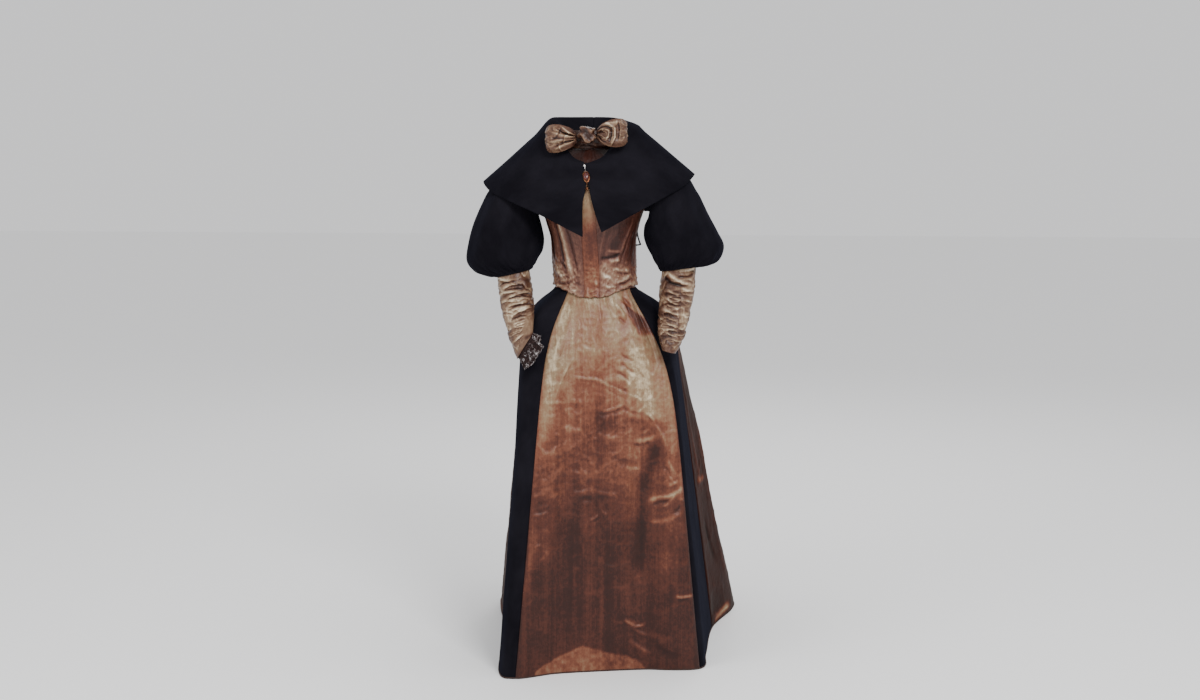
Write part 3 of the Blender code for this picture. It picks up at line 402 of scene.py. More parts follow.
def satin(name, colours, streaks=0.12, shine=0.36, depth=0.045, gloss=0.26):
    """Silk satin: coloured by its tone, the painted light and shade of its folds and its uneven threads,
    with a fine weave and small crinkles.
    """
    made, tree, shader = new_finish(name)
    tone = node(tree, "Attribute", attribute_name="tone").outputs["Fac"]
    fold_shading = node(tree, "Attribute", attribute_name="fold_shading").outputs["Fac"]
    mottle = grain(tree, 13.0, 13.0, 5.0, 0.65)
    thread = grain(tree, 150.0, 2.2, 4.0, 0.7)
    for share, wave in ((0.09, mottle), (streaks, thread), (0.2, grain(tree, 120.0, 85.0, 5.0, 0.75))):
        tone = calc(tree, "ADD", tone, calc(tree, "MULTIPLY", calc(tree, "SUBTRACT", wave, 0.5), share * 2))
    # painted shade in the folds' troughs and painted highlights on their ridges
    tone = calc(tree, "ADD", tone, calc(tree, "MULTIPLY", fold_shading, depth))
    ramp = node(tree, "ValToRGB", {"Fac": tone})
    stops = ramp.color_ramp.elements
    while len(stops) < len(colours):
        stops.new(0.5)
    for stop, (at, colour) in zip(stops, colours):
        stop.position, stop.color = at, (*colour, 1.0)
    crinkle = bump(tree, grain(tree, 70.0, 85.0, 4.0), 0.002, 0.7)
    slub = bump(tree, grain(tree, 420.0, 60.0, 2.0), 0.0003, 0.5, crinkle)
    weave = bump(tree, grain(tree, 2600.0, 900.0, 1.0), 0.0001, 0.5, slub)
    rough = node(tree, "MapRange", {"Value": mottle, "To Min": shine - 0.07, "To Max": shine + 0.12})
    join(tree, shader, {"Base Color": ramp.outputs["Color"], "Normal": weave, "Roughness": rough.outputs[0],
                        "Specular IOR Level": gloss, "Sheen Weight": 0.02, "Sheen Roughness": 0.35,
                        "Sheen Tint": (1.0, 0.86, 0.72, 1.0)})
    return made


def skirt(u, h):
    """The skirt's surface: u counts the lines round it from the centre front to the wearer's left."""
    down = (WAIST_HEIGHT - h) / WAIST_HEIGHT
    lines = np.array(SKIRT_LINES)

    def plain(u):
        k = np.floor(u).astype(int)
        t = (u - k)[..., None]
        ring = []
        for j in (-1, 0, 1, 2):
            angle, hem_x, hem_y, hip, spring = np.moveaxis(lines[(k + j) % len(lines)], -1, 0)
            a = np.radians(angle)
            top = np.stack((WAIST_HALF_WIDTH * np.sin(a), -WAIST_DEPTH * np.cos(a)), -1)
            sprung = 1 - np.exp(-((np.maximum(down, 0.0) / spring) ** SPRING_CURVE))
            away = np.stack((hem_x, hem_y), -1) - top
            ring.append(top + away * (hip * sprung + (1 - hip) * down)[..., None])
        a, b, c, d = ring
        bend = (a * 2 - b * 5 + c * 4 - d) * t**2 + (b * 3 - a - c * 3 + d) * t**3
        return (b * 2 + (c - a) * t + bend) * 0.5

    point, across = plain(u), plain(u + 0.05) - plain(u - 0.05)
    out = np.stack((across[..., 1], -across[..., 0]), -1)
    out /= np.linalg.norm(out, axis=-1, keepdims=True)
    share = (u % len(lines) - 6) / 2
    flute_depth = FLUTE_DEPTH_WAIST + (FLUTE_DEPTH_HEM - FLUTE_DEPTH_WAIST) * np.maximum(down, 0.0) ** 0.8
    flute = flute_depth * np.sin(math.pi * FLUTES * share) ** 2 * ((share > 0) & (share < 1))
    halfway = len(lines) / 2
    turned = (u + halfway) % len(lines) - halfway
    rise = np.zeros_like(h)
    for top_u, top_h, low_u, low_h, half, height in SKIRT_FOLDS:
        t = (top_h - h) / (top_h - low_h)
        fade = np.sin(math.pi * np.clip((t + 0.25) / 1.5, 0, 1))
        rise += height * fade * np.exp(-((turned - top_u - (low_u - top_u) * t) / half) ** 2)
    point = point + out * (flute + rise)[..., None]
    return np.concatenate((point, h[..., None]), -1)


def gore(first, last, columns, rows):
    """A gore's grid of points between two lines round the skirt, with the line and height of each."""
    u, h = np.meshgrid(np.linspace(first, last, columns), np.linspace(0.0, WAIST_HEIGHT, rows))
    return skirt(u, h), u, h


copper_satin = satin("copper satin", SATIN_COLOURS)
points, _, h = gore(-2, 2, FRONT_COLUMNS, FRONT_ROWS)
x = points[..., 0]
# the relief: the creases placed one by one, then crumples in several sizes, quieter near the hem
quiet = np.clip(h / 0.2, 0.35, 1.0)
rise = strokes(FRONT_CREASES, x, h, flank=2.4) / 1000
rise += quiet * (0.0011 * crushed(x, h, 0.06, 3) + 0.0009 * crushed(x, h, 0.026, 8))
rise += quiet * 0.0012 * lumps(x, h, 0.11, 5)
rise += 0.0009 * np.clip((h - 0.25) / 0.3, 0.2, 1) * crushed(x, h * 0.8, 0.013, 9)
rise += 0.0012 * np.exp(-(((h - 0.56) / 0.16) ** 2)) * crushed(x * 0.7 + h * 0.5, h - x * 0.4, 0.02, 16)
# the colour: paler upwards as painted light from above, with painted highlights and painted shade along the
# strokes, and long streaks down the cloth
tone = smooth(*zip(*FRONT_TONE_AND_LIGHT_HEIGHTS), h) + strokes(FRONT_LIGHT_SHADE_AND_TONES, x, h) + 0.02 * lumps(x, h, 0.045, 13)
tone += 0.055 * lumps(x, h * 0.05, 0.011, 12) + 0.035 * lumps(x, h * 0.06, 0.028, 15)
# a painted shadow in a fold that widens down from the waist, and a painted pool of light, a pale wave along
# the hem
left_side, right_side = (start + (WAIST_FOLD_HEIGHT - h) * slope for start, slope in WAIST_FOLD_SIDES)
fold_shading = np.clip((x - left_side + 0.002 * lumps(x, h, 0.008, 19)) / SHADE_EDGE, 0, 1)
fold_shading *= np.clip((right_side - x) / SHADE_EDGE, 0, 1) * np.clip((h - WAIST_FOLD_FOOT) / 0.012, 0, 1)
tone -= (0.33 + 0.04 * lumps(x, h, 0.008, 20)) * fold_shading
tone += np.clip((h - 0.6) / 0.1, 0, 1) * (0.03 * lumps(x, h, 0.009, 17) + 0.03 * crushed(x, h, 0.024, 18))
edge = smooth(*zip(*HEM_LIGHT), x) + 0.003 * lumps(x, h, 0.012, 2)
hem_light = np.clip((edge - h) / 0.006, 0, 1) * (x > -0.13) * (x < 0.148)
tone += (0.24 + 0.08 * lumps(x, h, 0.01, 14)) * hem_light
front_gore = cloth("front_gore", points, rise, SATIN, copper_satin, tone)
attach(front_gore, "root")
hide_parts("skirt_front_gore")


# Skirt velvet panels: two strips of blue-black silk velvet, one sewn in at each side of the front gore,
# with the pile running down. They hang almost smooth.
VELVET = 0.0018
VELVET_COLUMNS, VELVET_ROWS = 36, 150
VELVET_PANELS = [
    # side, first and last line round the skirt, flat width and length, flat area
    ("left", 2, 4, (0.383, 1.062), 0.279),
    ("right", 10, 12, (0.457, 1.037), 0.351),
]
VELVET_SOFT = [
    # y and height of one end, y and height of the other, bow, half width and rise in millimetres
    (-0.06, 0.9, -0.05, 0.6, 0.004, 14.0, 1.6),
    (-0.08, 0.7, -0.06, 0.2, 0.006, 16.0, -1.8),
    (0.06, 0.62, 0.12, 0.1, 0.004, 18.0, 2.2),
    (-0.18, 0.5, -0.2, 0.05, 0.006, 16.0, 1.6),
    (-0.04, 0.4, -0.04, 0.02, 0.006, 18.0, -1.8),
]


def velvet(name, deep, lit):
    """Silk velvet: near black, its pile brushed unevenly, with a soft sheen at glancing angles."""
    made, tree, shader = new_finish(name)
    brushed = grain(tree, 9.0, 6.0, 4.0)
    pile = bump(tree, grain(tree, 1500.0, 900.0, 2.0), 0.0004, 0.8, bump(tree, brushed, 0.002, 0.4))
    rough = node(tree, "MapRange", {"Value": brushed, "To Min": 0.86, "To Max": 1.0}).outputs[0]
    join(tree, shader, {"Base Color": two_tone(tree, brushed, 0.38, deep, 0.66, lit), "Normal": pile,
                        "Roughness": rough, "Specular IOR Level": 0.0, "Sheen Weight": 0.05,
                        "Sheen Roughness": 0.45, "Sheen Tint": (0.3, 0.33, 0.5, 1.0)})
    return made


black_velvet = velvet("blue-black velvet", (0.0055, 0.005, 0.0068), (0.0105, 0.0096, 0.0128))
for side, first, last, flat, area in VELVET_PANELS:
    points, _, h = gore(first, last, VELVET_COLUMNS, VELVET_ROWS)
    y = points[..., 1]
    rise = strokes(VELVET_SOFT, y, h) / 1000 + 0.0012 * lumps(y, h, 0.09, 11 + first)
    panel = cloth("velvet_panel_" + side, points, rise, VELVET, black_velvet)
    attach(panel, "root")
    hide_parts("skirt_velvet_" + side)


# Skirt side gores: the same satin as the front, cut on the slant so that the skirt swings out behind.
# They hang in the shade of the velvet, with a few sharp creases; that shade is painted in, as dark copper
# and as a copy of the satin with little gloss.
SIDE_COLUMNS, SIDE_ROWS = 64, 140
# how much of the painted highlights each side gore takes
SIDE_SHADE = {"left": 1.0, "right": 0.25}
SIDE_GORES = [
    # side, first and last line round the skirt, flat width and length, flat area
    ("left", 4, 6, (0.495, 1.212), 0.339),
    ("right", 8, 10, (0.56, 1.205), 0.388),
]
SIDE_CREASES = [
    # y and height of one end, y and height of the other, bow, half width and rise in millimetres
    (0.225, 0.42, 0.29, 0.417, 0.003, 4.5, 3.0),
    (0.24, 0.44, 0.27, 0.47, 0.003, 4.0, 2.4),
    (0.27, 0.3, 0.34, 0.17, 0.008, 12.0, -3.0),
    (0.3, 0.56, 0.42, 0.12, 0.012, 18.0, 4.0),
    (0.4, 0.42, 0.52, 0.06, 0.01, 16.0, -4.0),
    (0.26, 0.03, 0.42, 0.022, 0.004, 9.0, 3.4),
    (0.18, 0.7, 0.25, 0.42, 0.008, 12.0, 2.4),
    (0.13, 0.82, 0.18, 0.64, 0.004, 10.0, -2.2),
    (0.36, 0.7, 0.47, 0.4, 0.01, 14.0, -3.0),
    (0.42, 0.3, 0.48, 0.27, 0.003, 5.0, 2.4),
    (0.34, 0.62, 0.39, 0.6, 0.003, 4.0, 2.0),
    (0.5, 0.2, 0.56, 0.23, 0.003, 5.0, 2.2),
]
# Painted highlights along the side gores' creases, and one broad paler band, laid as strokes.
SIDE_LIGHT_AND_TONES = [
    # y and height of one end, y and height of the other, bow, half width in millimetres, how much paler
    (0.225, 0.42, 0.29, 0.42, 0.0, 9.0, 0.25),
    (0.285, 0.01, 0.41, 0.026, 0.0, 11.0, 0.55),
    (0.3, 0.8, 0.38, 0.5, 0.0, 50.0, 0.05),
]
# Tone by height: dark copper as painted shade, a little paler upwards.
SIDE_TONE_AND_SHADE_HEIGHTS = [(0.0, 0.14), (0.25, 0.14), (0.5, 0.17), (0.75, 0.3), (0.97, 0.44)]

# a copy of the satin with little gloss, so that the side gores look shaded: painted shade
shaded_satin = satin("shaded copper satin", SATIN_COLOURS, shine=0.55, gloss=0.04)
for side, first, last, flat, area in SIDE_GORES:
    points, _, h = gore(first, last, SIDE_COLUMNS, SIDE_ROWS)
    y = points[..., 1]
    rise = strokes(SIDE_CREASES, y, h, flank=2.0) / 1000 + 0.0022 * lumps(y, h, 0.13, 6)
    rise += 0.0012 * crushed(y, h, 0.07, 21 + first) + 0.0007 * crushed(y, h, 0.028, 23)
    tone = smooth(*zip(*SIDE_TONE_AND_SHADE_HEIGHTS), h) + strokes(SIDE_LIGHT_AND_TONES, y, h) * SIDE_SHADE[side]
    tone += 0.05 * lumps(y, h * 0.06, 0.013, 24)
    panel = cloth("side_gore_" + side, points, rise, SATIN, shaded_satin, tone)
    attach(panel, "root")
    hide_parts("skirt_side_gore_" + side)


# Skirt back gores: full widths of the satin, set into round pleats at the waist that open into deep
# flutes down to a short train. They are sewn together down the middle.
BACK_CREASES = [
    # x and height of one end, x and height of the other, bow, half width and rise in millimetres
    (0.06, 0.7, 0.105, 0.685, 0.003, 5.0, 2.2),
    (-0.04, 0.64, 0.01, 0.655, 0.003, 5.0, 2.0),
    (0.09, 0.52, 0.15, 0.5, 0.004, 6.0, 2.6),
    (-0.13, 0.56, -0.08, 0.54, 0.003, 5.0, 2.4),
    (-0.06, 0.42, 0.0, 0.44, 0.004, 6.0, 2.4),
    (0.11, 0.33, 0.18, 0.35, 0.004, 6.0, 2.8),
    (-0.17, 0.3, -0.11, 0.32, 0.004, 6.0, 2.6),
    (0.02, 0.24, 0.08, 0.225, 0.003, 5.0, 2.4),
    (-0.06, 0.14, -0.01, 0.16, 0.003, 5.0, 2.2),
    (0.13, 0.12, 0.2, 0.1, 0.004, 7.0, 2.6),
    (-0.19, 0.1, -0.13, 0.08, 0.004, 7.0, 2.4),
]
BACK_COLUMNS, BACK_ROWS = 84, 132
BACK_TONE_AND_LIGHT_HEIGHTS = [(0.0, 0.3), (0.25, 0.32), (0.5, 0.42), (0.75, 0.56), (0.97, 0.66)]

for side, first, last in (("left", 6, 7), ("right", 7, 8)):
    points, u, h = gore(first, last, BACK_COLUMNS, BACK_ROWS)
    x = points[..., 0]
    down = (WAIST_HEIGHT - h) / WAIST_HEIGHT
    rise = strokes(BACK_CREASES, x, h, flank=2.0) / 1000
    rise += (0.3 + 0.7 * down) * (0.0014 * crushed(x, h, 0.06, 31) + 0.002 * lumps(x, h, 0.1, 32 + first))
    # the colour: paler upwards as painted light from above, and paler on the flutes' crests as painted
    # highlight
    tone = smooth(*zip(*BACK_TONE_AND_LIGHT_HEIGHTS), h) + 0.05 * np.sin(math.pi * FLUTES * (u - 6) / 2) ** 2
    tone += 0.05 * lumps(x, h * 0.06, 0.012, 34)
    panel = cloth("back_gore_" + side, points, rise, SATIN, copper_satin, tone)
    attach(panel, "root")
    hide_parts("skirt_back_" + side)


# Waistband: a plain doubled strip of the satin that the gores are gathered into, under the bodice's edge.
# It holds the skirt up.
BAND_TOP = 1.0
BAND_GAP = 0.0003
around, up = np.linspace(0, math.tau, 128, endpoint=False), np.linspace(WAIST_HEIGHT + BAND_GAP, BAND_TOP, 10)
turn, h = np.meshgrid(around, up)
points = np.stack((WAIST_HALF_WIDTH * np.sin(turn), -WAIST_DEPTH * np.cos(turn), h), -1)
waistband = cloth("waistband", points, 0.0002 * lumps(turn, h, 0.3, 41), SATIN, copper_satin,
                  np.full(h.shape, 0.55), ring=True)
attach(waistband, "root")
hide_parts("skirt_waistband")


# Hem braid: a dark brush braid, a worsted cord sewn all round just inside the hem to save it from wear.
# It shows as a thin dark line under the skirt.
BRAID_HALF = 0.0017
BRAID_HEIGHT = 0.0022


def lay_thread(line, spots):
    """Lays one closed thread through the spots, in the curve that holds it."""
    spline = line.splines.new("POLY")
    spline.points.add(len(spots) - 1)
    spline.points.foreach_set("co", np.column_stack((spots, np.ones(len(spots)))).ravel())
    spline.use_cyclic_u = True


def speckle(tree, scale, detail):
    """Noise through a solid piece, with so many lumps to a metre."""
    where = node(tree, "TexCoord").outputs["Object"]
    return node(tree, "TexNoise", {"Vector": where, "Scale": scale, "Detail": detail}).outputs["Fac"]
u = np.linspace(0, len(SKIRT_LINES), 700, endpoint=False)
line = bpy.data.curves.new("hem_braid", "CURVE")
line.dimensions = "3D"
lay_thread(line, settle(skirt(u, np.full(u.shape, BRAID_HEIGHT))))
line.bevel_depth, line.bevel_resolution = BRAID_HALF, 2
worsted, tree, shader = new_finish("dark worsted braid")
twist = speckle(tree, 420.0, 3.0)
dark = two_tone(tree, twist, 0.0, (0.01, 0.005, 0.004), 1.0, (0.06, 0.026, 0.018))
join(tree, shader, {"Base Color": dark, "Normal": bump(tree, twist, 0.0006), "Roughness": 0.9})
braid = piece("hem_braid", line, worsted)
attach(braid, "root")


# Bodice: a centre vest, two fronts and two backs of satin over a boned lining. The fronts are laid in
# narrow pleats that meet at the point, and a crushed sash is tacked round the waist.
BODICE_SECTIONS = [
    # height, half width, front depth, back depth
    (0.935, 0.12, 0.0985, 0.09),
    (0.95, 0.115, 0.0932, 0.0872),
    (0.968, 0.1106, 0.0874, 0.0846),
    (1.0, 0.1072, 0.0836, 0.0836),
    (1.035, 0.108, 0.09, 0.0864),
    (1.065, 0.1085, 0.0985, 0.089),
    (1.1, 0.1105, 0.11, 0.093),
    (1.16, 0.128, 0.126, 0.103),
    (1.2, 0.15, 0.126, 0.108),
    (1.24, 0.159, 0.116, 0.105),
    (1.275, 0.148, 0.099, 0.095),
    (1.3, 0.118, 0.083, 0.084),
    (1.316, 0.086, 0.071, 0.073),
    (1.325, 0.065, 0.065, 0.065),
]
BODICE_EDGE = 0.977
BODICE_POINT_DIP = 0.028
VEST_HALF_WIDTH = 0.02
VEST_NECK_ANGLE = 9.0
ARMHOLE_HEIGHT = 1.222
ARMHOLE_HALF_HEIGHT = 0.052
ARMHOLE_HALF_ANGLE = 20.0
NECK_HEIGHT = 1.325
DEGREE = 0.0019  # metres of cloth to one degree round the bodice
BODICE_CREASES = [
    # angle and height of one end, angle and height of the other, bow, half width and rise in millimetres
    (-41, 1.15, -29, 1.006, 0.003, 5.5, 3.6),
    (-33, 1.15, -18, 1.006, 0.002, 2.4, -3.4),
    (-48, 1.15, -38, 1.006, 0.002, 2.6, -3.2),
    (-54, 1.14, -46, 1.01, 0.003, 4.0, 2.2),
    (-9, 1.25, -8, 1.03, 0.001, 1.8, 1.5),
    (24, 1.15, 7, 1.02, -0.002, 2.6, 2.2),
    (30, 1.15, 12, 1.02, -0.002, 3.0, -2.4),
    (62, 1.14, 35, 1.035, -0.003, 2.6, 2.8),
    (66, 1.13, 41, 1.035, -0.003, 3.0, -2.2),
    (15, 1.05, 42, 1.059, 0.003, 3.8, -4.6),
    (24, 1.07, 42, 1.067, 0.002, 3.4, 3.4),
    (26, 1.042, 42, 1.046, 0.002, 3.2, 3.2),
    (10, 1.03, 30, 1.04, 0.004, 5.0, 2.6),
    (9, 1.018, 28, 1.0, 0.004, 6.0, 3.0),
    (22, 1.01, 38, 1.022, -0.003, 4.0, 2.8),
    (34, 1.022, 60, 1.019, 0.003, 3.6, 4.4),
    (38, 1.014, 62, 1.008, 0.002, 3.0, -3.4),
    (34, 0.986, 62, 1.006, 0.003, 3.6, 4.2),
    (30, 0.979, 66, 0.998, 0.003, 3.0, -3.6),
    (40, 0.976, 74, 0.988, 0.002, 3.6, 3.4),
    (12, 0.984, 32, 0.976, 0.003, 4.0, 3.0),
    (4, 0.978, 24, 0.97, 0.002, 3.0, -2.6),
    (62, 1.0, 84, 0.996, 0.002, 3.6, 3.0),
    (64, 1.026, 84, 1.012, 0.003, 4.0, 2.4),
    (-50, 0.99, -28, 0.997, 0.003, 3.6, 3.8),
    (-54, 0.982, -30, 0.986, 0.003, 3.0, -3.6),
    (-48, 0.975, -14, 0.966, 0.003, 3.8, 3.4),
    (-46, 1.004, -34, 1.01, 0.002, 3.2, 2.8),
    (-12, 0.974, 6, 0.966, 0.002, 4.0, 2.8),
    (-22, 0.986, -6, 0.981, 0.003, 3.2, -2.4),
    (-46, 1.052, -38, 1.034, 0.002, 3.4, 3.2),
    (-50, 1.046, -42, 1.028, 0.002, 2.6, -2.6),
    (-60, 1.06, -50, 1.04, 0.002, 3.6, 2.4),
    (-62, 1.036, -44, 0.996, 0.003, 5.0, 2.6),
    (-76, 1.15, -70, 1.05, 0.002, 3.6, 2.8),
    (-70, 1.15, -64, 1.05, 0.002, 2.8, -2.8),
    (-84, 1.12, -78, 1.0, 0.002, 4.0, 2.2),
    (-6, 1.014, 2, 1.004, 0.001, 2.6, 1.6),
    (-4, 1.0, 6, 0.992, 0.001, 2.4, -1.4),
    (74, 1.12, 60, 1.04, -0.002, 4.0, -2.0),
    (80, 1.08, 76, 1.0, -0.002, 4.0, 2.0),
    (100, 1.01, 150, 1.004, 0.003, 4.0, 2.2),
    (110, 0.992, 170, 0.996, 0.003, 4.0, 2.6),
    (-100, 1.008, -150, 1.012, 0.003, 4.0, 2.2),
    (-112, 0.994, -168, 0.99, 0.003, 4.0, 2.6),
    (120, 1.15, 150, 1.01, 0.003, 3.0, -1.8),
    (-120, 1.15, -150, 1.01, 0.003, 3.0, -1.8),
    (150, 1.18, 166, 1.01, 0.002, 3.0, -1.6),
    (-150, 1.18, -166, 1.01, 0.002, 3.0, -1.6),
]
# Painted highlights on the creases' ridges and painted shade in their troughs and at the sides, with a paler
# strip down the vest, laid as strokes.
BODICE_LIGHT_SHADE_AND_TONES = [
    # angle and height of both ends, bow, half width in millimetres, how much paler
    (-40, 1.15, -28, 1.006, 0.003, 8.0, 0.4),
    (-49, 1.15, -40, 1.012, 0.0, 3.4, -0.26),
    (-31, 1.15, -17, 1.012, 0.0, 3.0, -0.2),
    (0, 1.258, 0, 1.13, 0.0, 22.0, 0.36),
    (-22, 1.12, -12, 1.02, 0.0, 9.0, 0.02),
    (0, 1.11, 0, 1.05, 0.0, 10.0, -0.1),
    (-8, 1.0, 4, 0.975, 0.0, 16.0, 0.08),
    (46, 1.12, 30, 1.062, 0.0, 16.0, -0.2),
    (72, 1.12, 66, 1.01, 0.0, 18.0, -0.26),
    (15, 1.05, 42, 1.058, 0.0, 4.4, -0.3),
    (24, 1.069, 40, 1.067, 0.0, 4.0, 0.26),
    (26, 1.044, 40, 1.045, 0.0, 3.6, 0.24),
    (12, 1.026, 34, 0.99, 0.0, 16.0, 0.22),
    (34, 1.02, 60, 1.014, 0.0, 6.0, 0.2),
    (36, 0.996, 60, 1.004, 0.0, 4.0, 0.16),
    (62, 1.133, 36, 1.037, -0.003, 2.4, 0.2),
    (-58, 1.034, -42, 0.99, 0.0, 11.0, 0.24),
    (-46, 1.1, -42, 1.03, 0.0, 4.0, -0.2),
    (-30, 0.984, -20, 0.966, 0.0, 7.0, 0.22),
    (12, 0.972, 30, 0.976, 0.0, 5.0, 0.2),
    (-74, 1.15, -66, 1.05, 0.0, 8.0, -0.5),
    (-86, 1.12, -80, 0.99, 0.0, 9.0, -0.3),
]
# Tone by height, darker at the neck as painted shade under the bow.
BODICE_TONE_AND_SHADE_HEIGHTS = [(0.93, 0.54), (0.985, 0.56), (1.01, 0.56), (1.05, 0.52), (1.09, 0.5), (1.13, 0.5),
                       (1.2, 0.58), (1.272, 0.46), (1.29, 0.28), (1.325, 0.22)]

BODICE_COLOURS = [(0.0, (0.005, 0.0018, 0.0014)), (0.3, (0.026, 0.0075, 0.0052)),
                  (0.46, (0.066, 0.022, 0.0155)), (0.6, (0.132, 0.054, 0.035)),
                  (0.72, (0.19, 0.1, 0.064)), (0.84, (0.255, 0.172, 0.115)),
                  (1.0, (0.54, 0.44, 0.33))]
BODICE_ROWS = 130


def bodice(angle, h):
    """The bodice's surface, at an angle from the centre front towards the wearer's left."""
    table = np.array(BODICE_SECTIONS)
    half_width, front, back = np.moveaxis(smooth(table[:, 0], table[:, 1:], h), -1, 0)
    a = np.radians(angle)
    return np.stack((half_width * np.sin(a), -np.where(np.cos(a) > 0, front, back) * np.cos(a), h), -1)


def bodice_edge(angle):
    """The height of the bodice's lower edge, which dips to a point in front."""
    turned = np.abs((angle + 180) % 360 - 180)
    wobble = 0.001 * np.sin(np.radians(11 * angle) + 1) + 0.0007 * np.sin(np.radians(27 * angle))
    return BODICE_EDGE + wobble - BODICE_POINT_DIP * np.cos(np.radians(np.minimum(turned * 1.25, 90))) ** 2


def vest_angle(h):
    """Where the vest's seam lies, as an angle from the centre front."""
    half_width = smooth(*zip(*[(row[0], row[1]) for row in BODICE_SECTIONS]), h)
    wide = np.degrees(np.arcsin(np.minimum(VEST_HALF_WIDTH / half_width, 1.0)))
    return np.where(h < ARMHOLE_HEIGHT, np.maximum(wide, VEST_NECK_ANGLE), VEST_NECK_ANGLE)


def armhole_angle(h):
    """Half the armhole's width at a height, in degrees: nothing above and below it."""
    off = (h - ARMHOLE_HEIGHT) / ARMHOLE_HALF_HEIGHT
    return ARMHOLE_HALF_ANGLE * np.sqrt(np.maximum(0.0, 1 - off**2))


bodice_panels = [
    # piece, node, slot, columns, flat width, length and area, the angles of its two seams
    ("vest", "bodice_vest", "satin_pale", 26, 0.05, 0.399, 0.0168, lambda h: -vest_angle(h), vest_angle),
    ("bodice_front_l", "bodice_front_left", "satin_copper", 90, 0.183, 0.442, 0.0608,
     vest_angle, lambda h: 90 - armhole_angle(h)),
    ("bodice_front_r", "bodice_front_right", "satin_copper", 90, 0.183, 0.442, 0.0608,
     lambda h: armhole_angle(h) - 90, lambda h: -vest_angle(h)),
    ("bodice_back_l", "bodice_back_left", "satin_copper", 40, 0.192, 0.435, 0.0622,
     lambda h: 90 + armhole_angle(h), lambda h: h * 0 + 180),
    ("bodice_back_r", "bodice_back_right", "satin_copper", 40, 0.192, 0.435, 0.0622,
     lambda h: h * 0 - 180, lambda h: -90 - armhole_angle(h)),
]
brown_satin = satin("brown copper satin", BODICE_COLOURS)
for name, solid, finish, columns, width, length, area, near, far in bodice_panels:
    share, level = np.meshgrid(np.linspace(0, 1, columns), np.linspace(0, 1, BODICE_ROWS))
    h = BODICE_EDGE + (NECK_HEIGHT - BODICE_EDGE) * level
    for _ in range(6):
        angle = near(h) + (far(h) - near(h)) * share
        h = bodice_edge(angle) + (NECK_HEIGHT - bodice_edge(angle)) * level
    across = angle * DEGREE
    # a rolled edge, then crumples that are strongest in the sash round the waist
    low = np.clip((1.06 - h) / 0.05, 0, 1)
    rise = 0.65 * strokes(BODICE_CREASES, angle, h, (DEGREE, 1.0), 2.2) / 1000
    rise += 0.0016 * np.exp(-(((h - bodice_edge(angle) - 0.003) / 0.003) ** 2))
    rise += (0.0004 + 0.0016 * low) * crushed(across, h, 0.022, 51) + 0.0006 * lumps(across, h, 0.03, 52)
    rise += (0.0003 + 0.0024 * low) * crushed(across * 0.8, h, 0.009, 53)
    rise = np.where(h > 1.15, rise * np.clip((1.2 - h) / 0.05, 0.15, 1), rise)
    in_neck = np.clip((h - 1.28) / 0.01, 0, 1) * np.clip((1.321 - h) / 0.01, 0, 1) * (np.abs(angle) < 60)
    rise += 0.001 * in_neck * crushed(across, h, 0.008, 54)
    # the colour, with painted highlights and shade along the creases, and a painted shadow under the bust
    # on the wearer's left, above the waist
    tone = smooth(*zip(*BODICE_TONE_AND_SHADE_HEIGHTS), h) + 0.66 * strokes(BODICE_LIGHT_SHADE_AND_TONES, angle, h, (DEGREE, 1.0))
    tone -= 0.1 * np.exp(-(((angle - 45) / 25) ** 2)) * np.clip((h - 1.03) / 0.03, 0, 1)
    tone += low * (0.05 * crushed(across, h, 0.007, 55) + 0.04 * lumps(across, h, 0.006, 56))
    silk = copper_satin if name == "vest" else brown_satin
    panel = cloth(name, bodice(angle, h), rise, SATIN, silk, tone, seam=0.0004)
    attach(panel, "root")
    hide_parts(solid)


# Collar: a soft stand of the pale satin round the neck on the bodice's top edge, crushed in front
# where the bow ties over it.
COLLAR_SECTIONS = [
    # height, radius, how far the front stands out
    (NECK_HEIGHT + 0.0005, 0.0655, 0.0),
    (1.338, 0.063, 0.009),
    (1.356, 0.0622, 0.0118),
    (1.372, 0.0622, 0.007),
]
COLLAR_CREASES = [
    # turn from the centre front and height of both ends, bow, half width and rise in millimetres
    (-0.9, 1.332, 0.1, 1.328, 0.002, 3.0, 1.6),
    (-0.3, 1.34, 0.8, 1.334, 0.002, 2.8, 1.4),
    (-0.8, 1.346, 0.2, 1.35, 0.002, 3.0, -1.4),
    (0.1, 1.352, 1.1, 1.348, 0.002, 3.0, 1.4),
    (1.2, 1.35, 2.6, 1.344, 0.002, 3.0, 1.2),
    (-2.7, 1.352, -1.2, 1.344, 0.002, 3.0, 1.2),
    (2.0, 1.336, 3.0, 1.34, 0.002, 3.0, -1.0),
    (-0.45, 1.326, -0.15, 1.342, 0.001, 2.0, 1.8),
    (0.05, 1.327, -0.1, 1.344, 0.001, 2.2, -1.8),
    (0.3, 1.326, 0.12, 1.343, 0.001, 2.0, 1.8),
    (0.62, 1.328, 0.5, 1.344, 0.001, 2.2, 1.4),
    (-0.85, 1.328, -0.62, 1.344, 0.001, 2.2, 1.4),
]
PALE_COLOURS = [(0.0, (0.006, 0.0025, 0.002)), (0.28, (0.032, 0.011, 0.0066)), (0.46, (0.085, 0.039, 0.024)),
                (0.62, (0.17, 0.102, 0.062)), (0.8, (0.3, 0.215, 0.14)), (1.0, (0.62, 0.51, 0.37))]
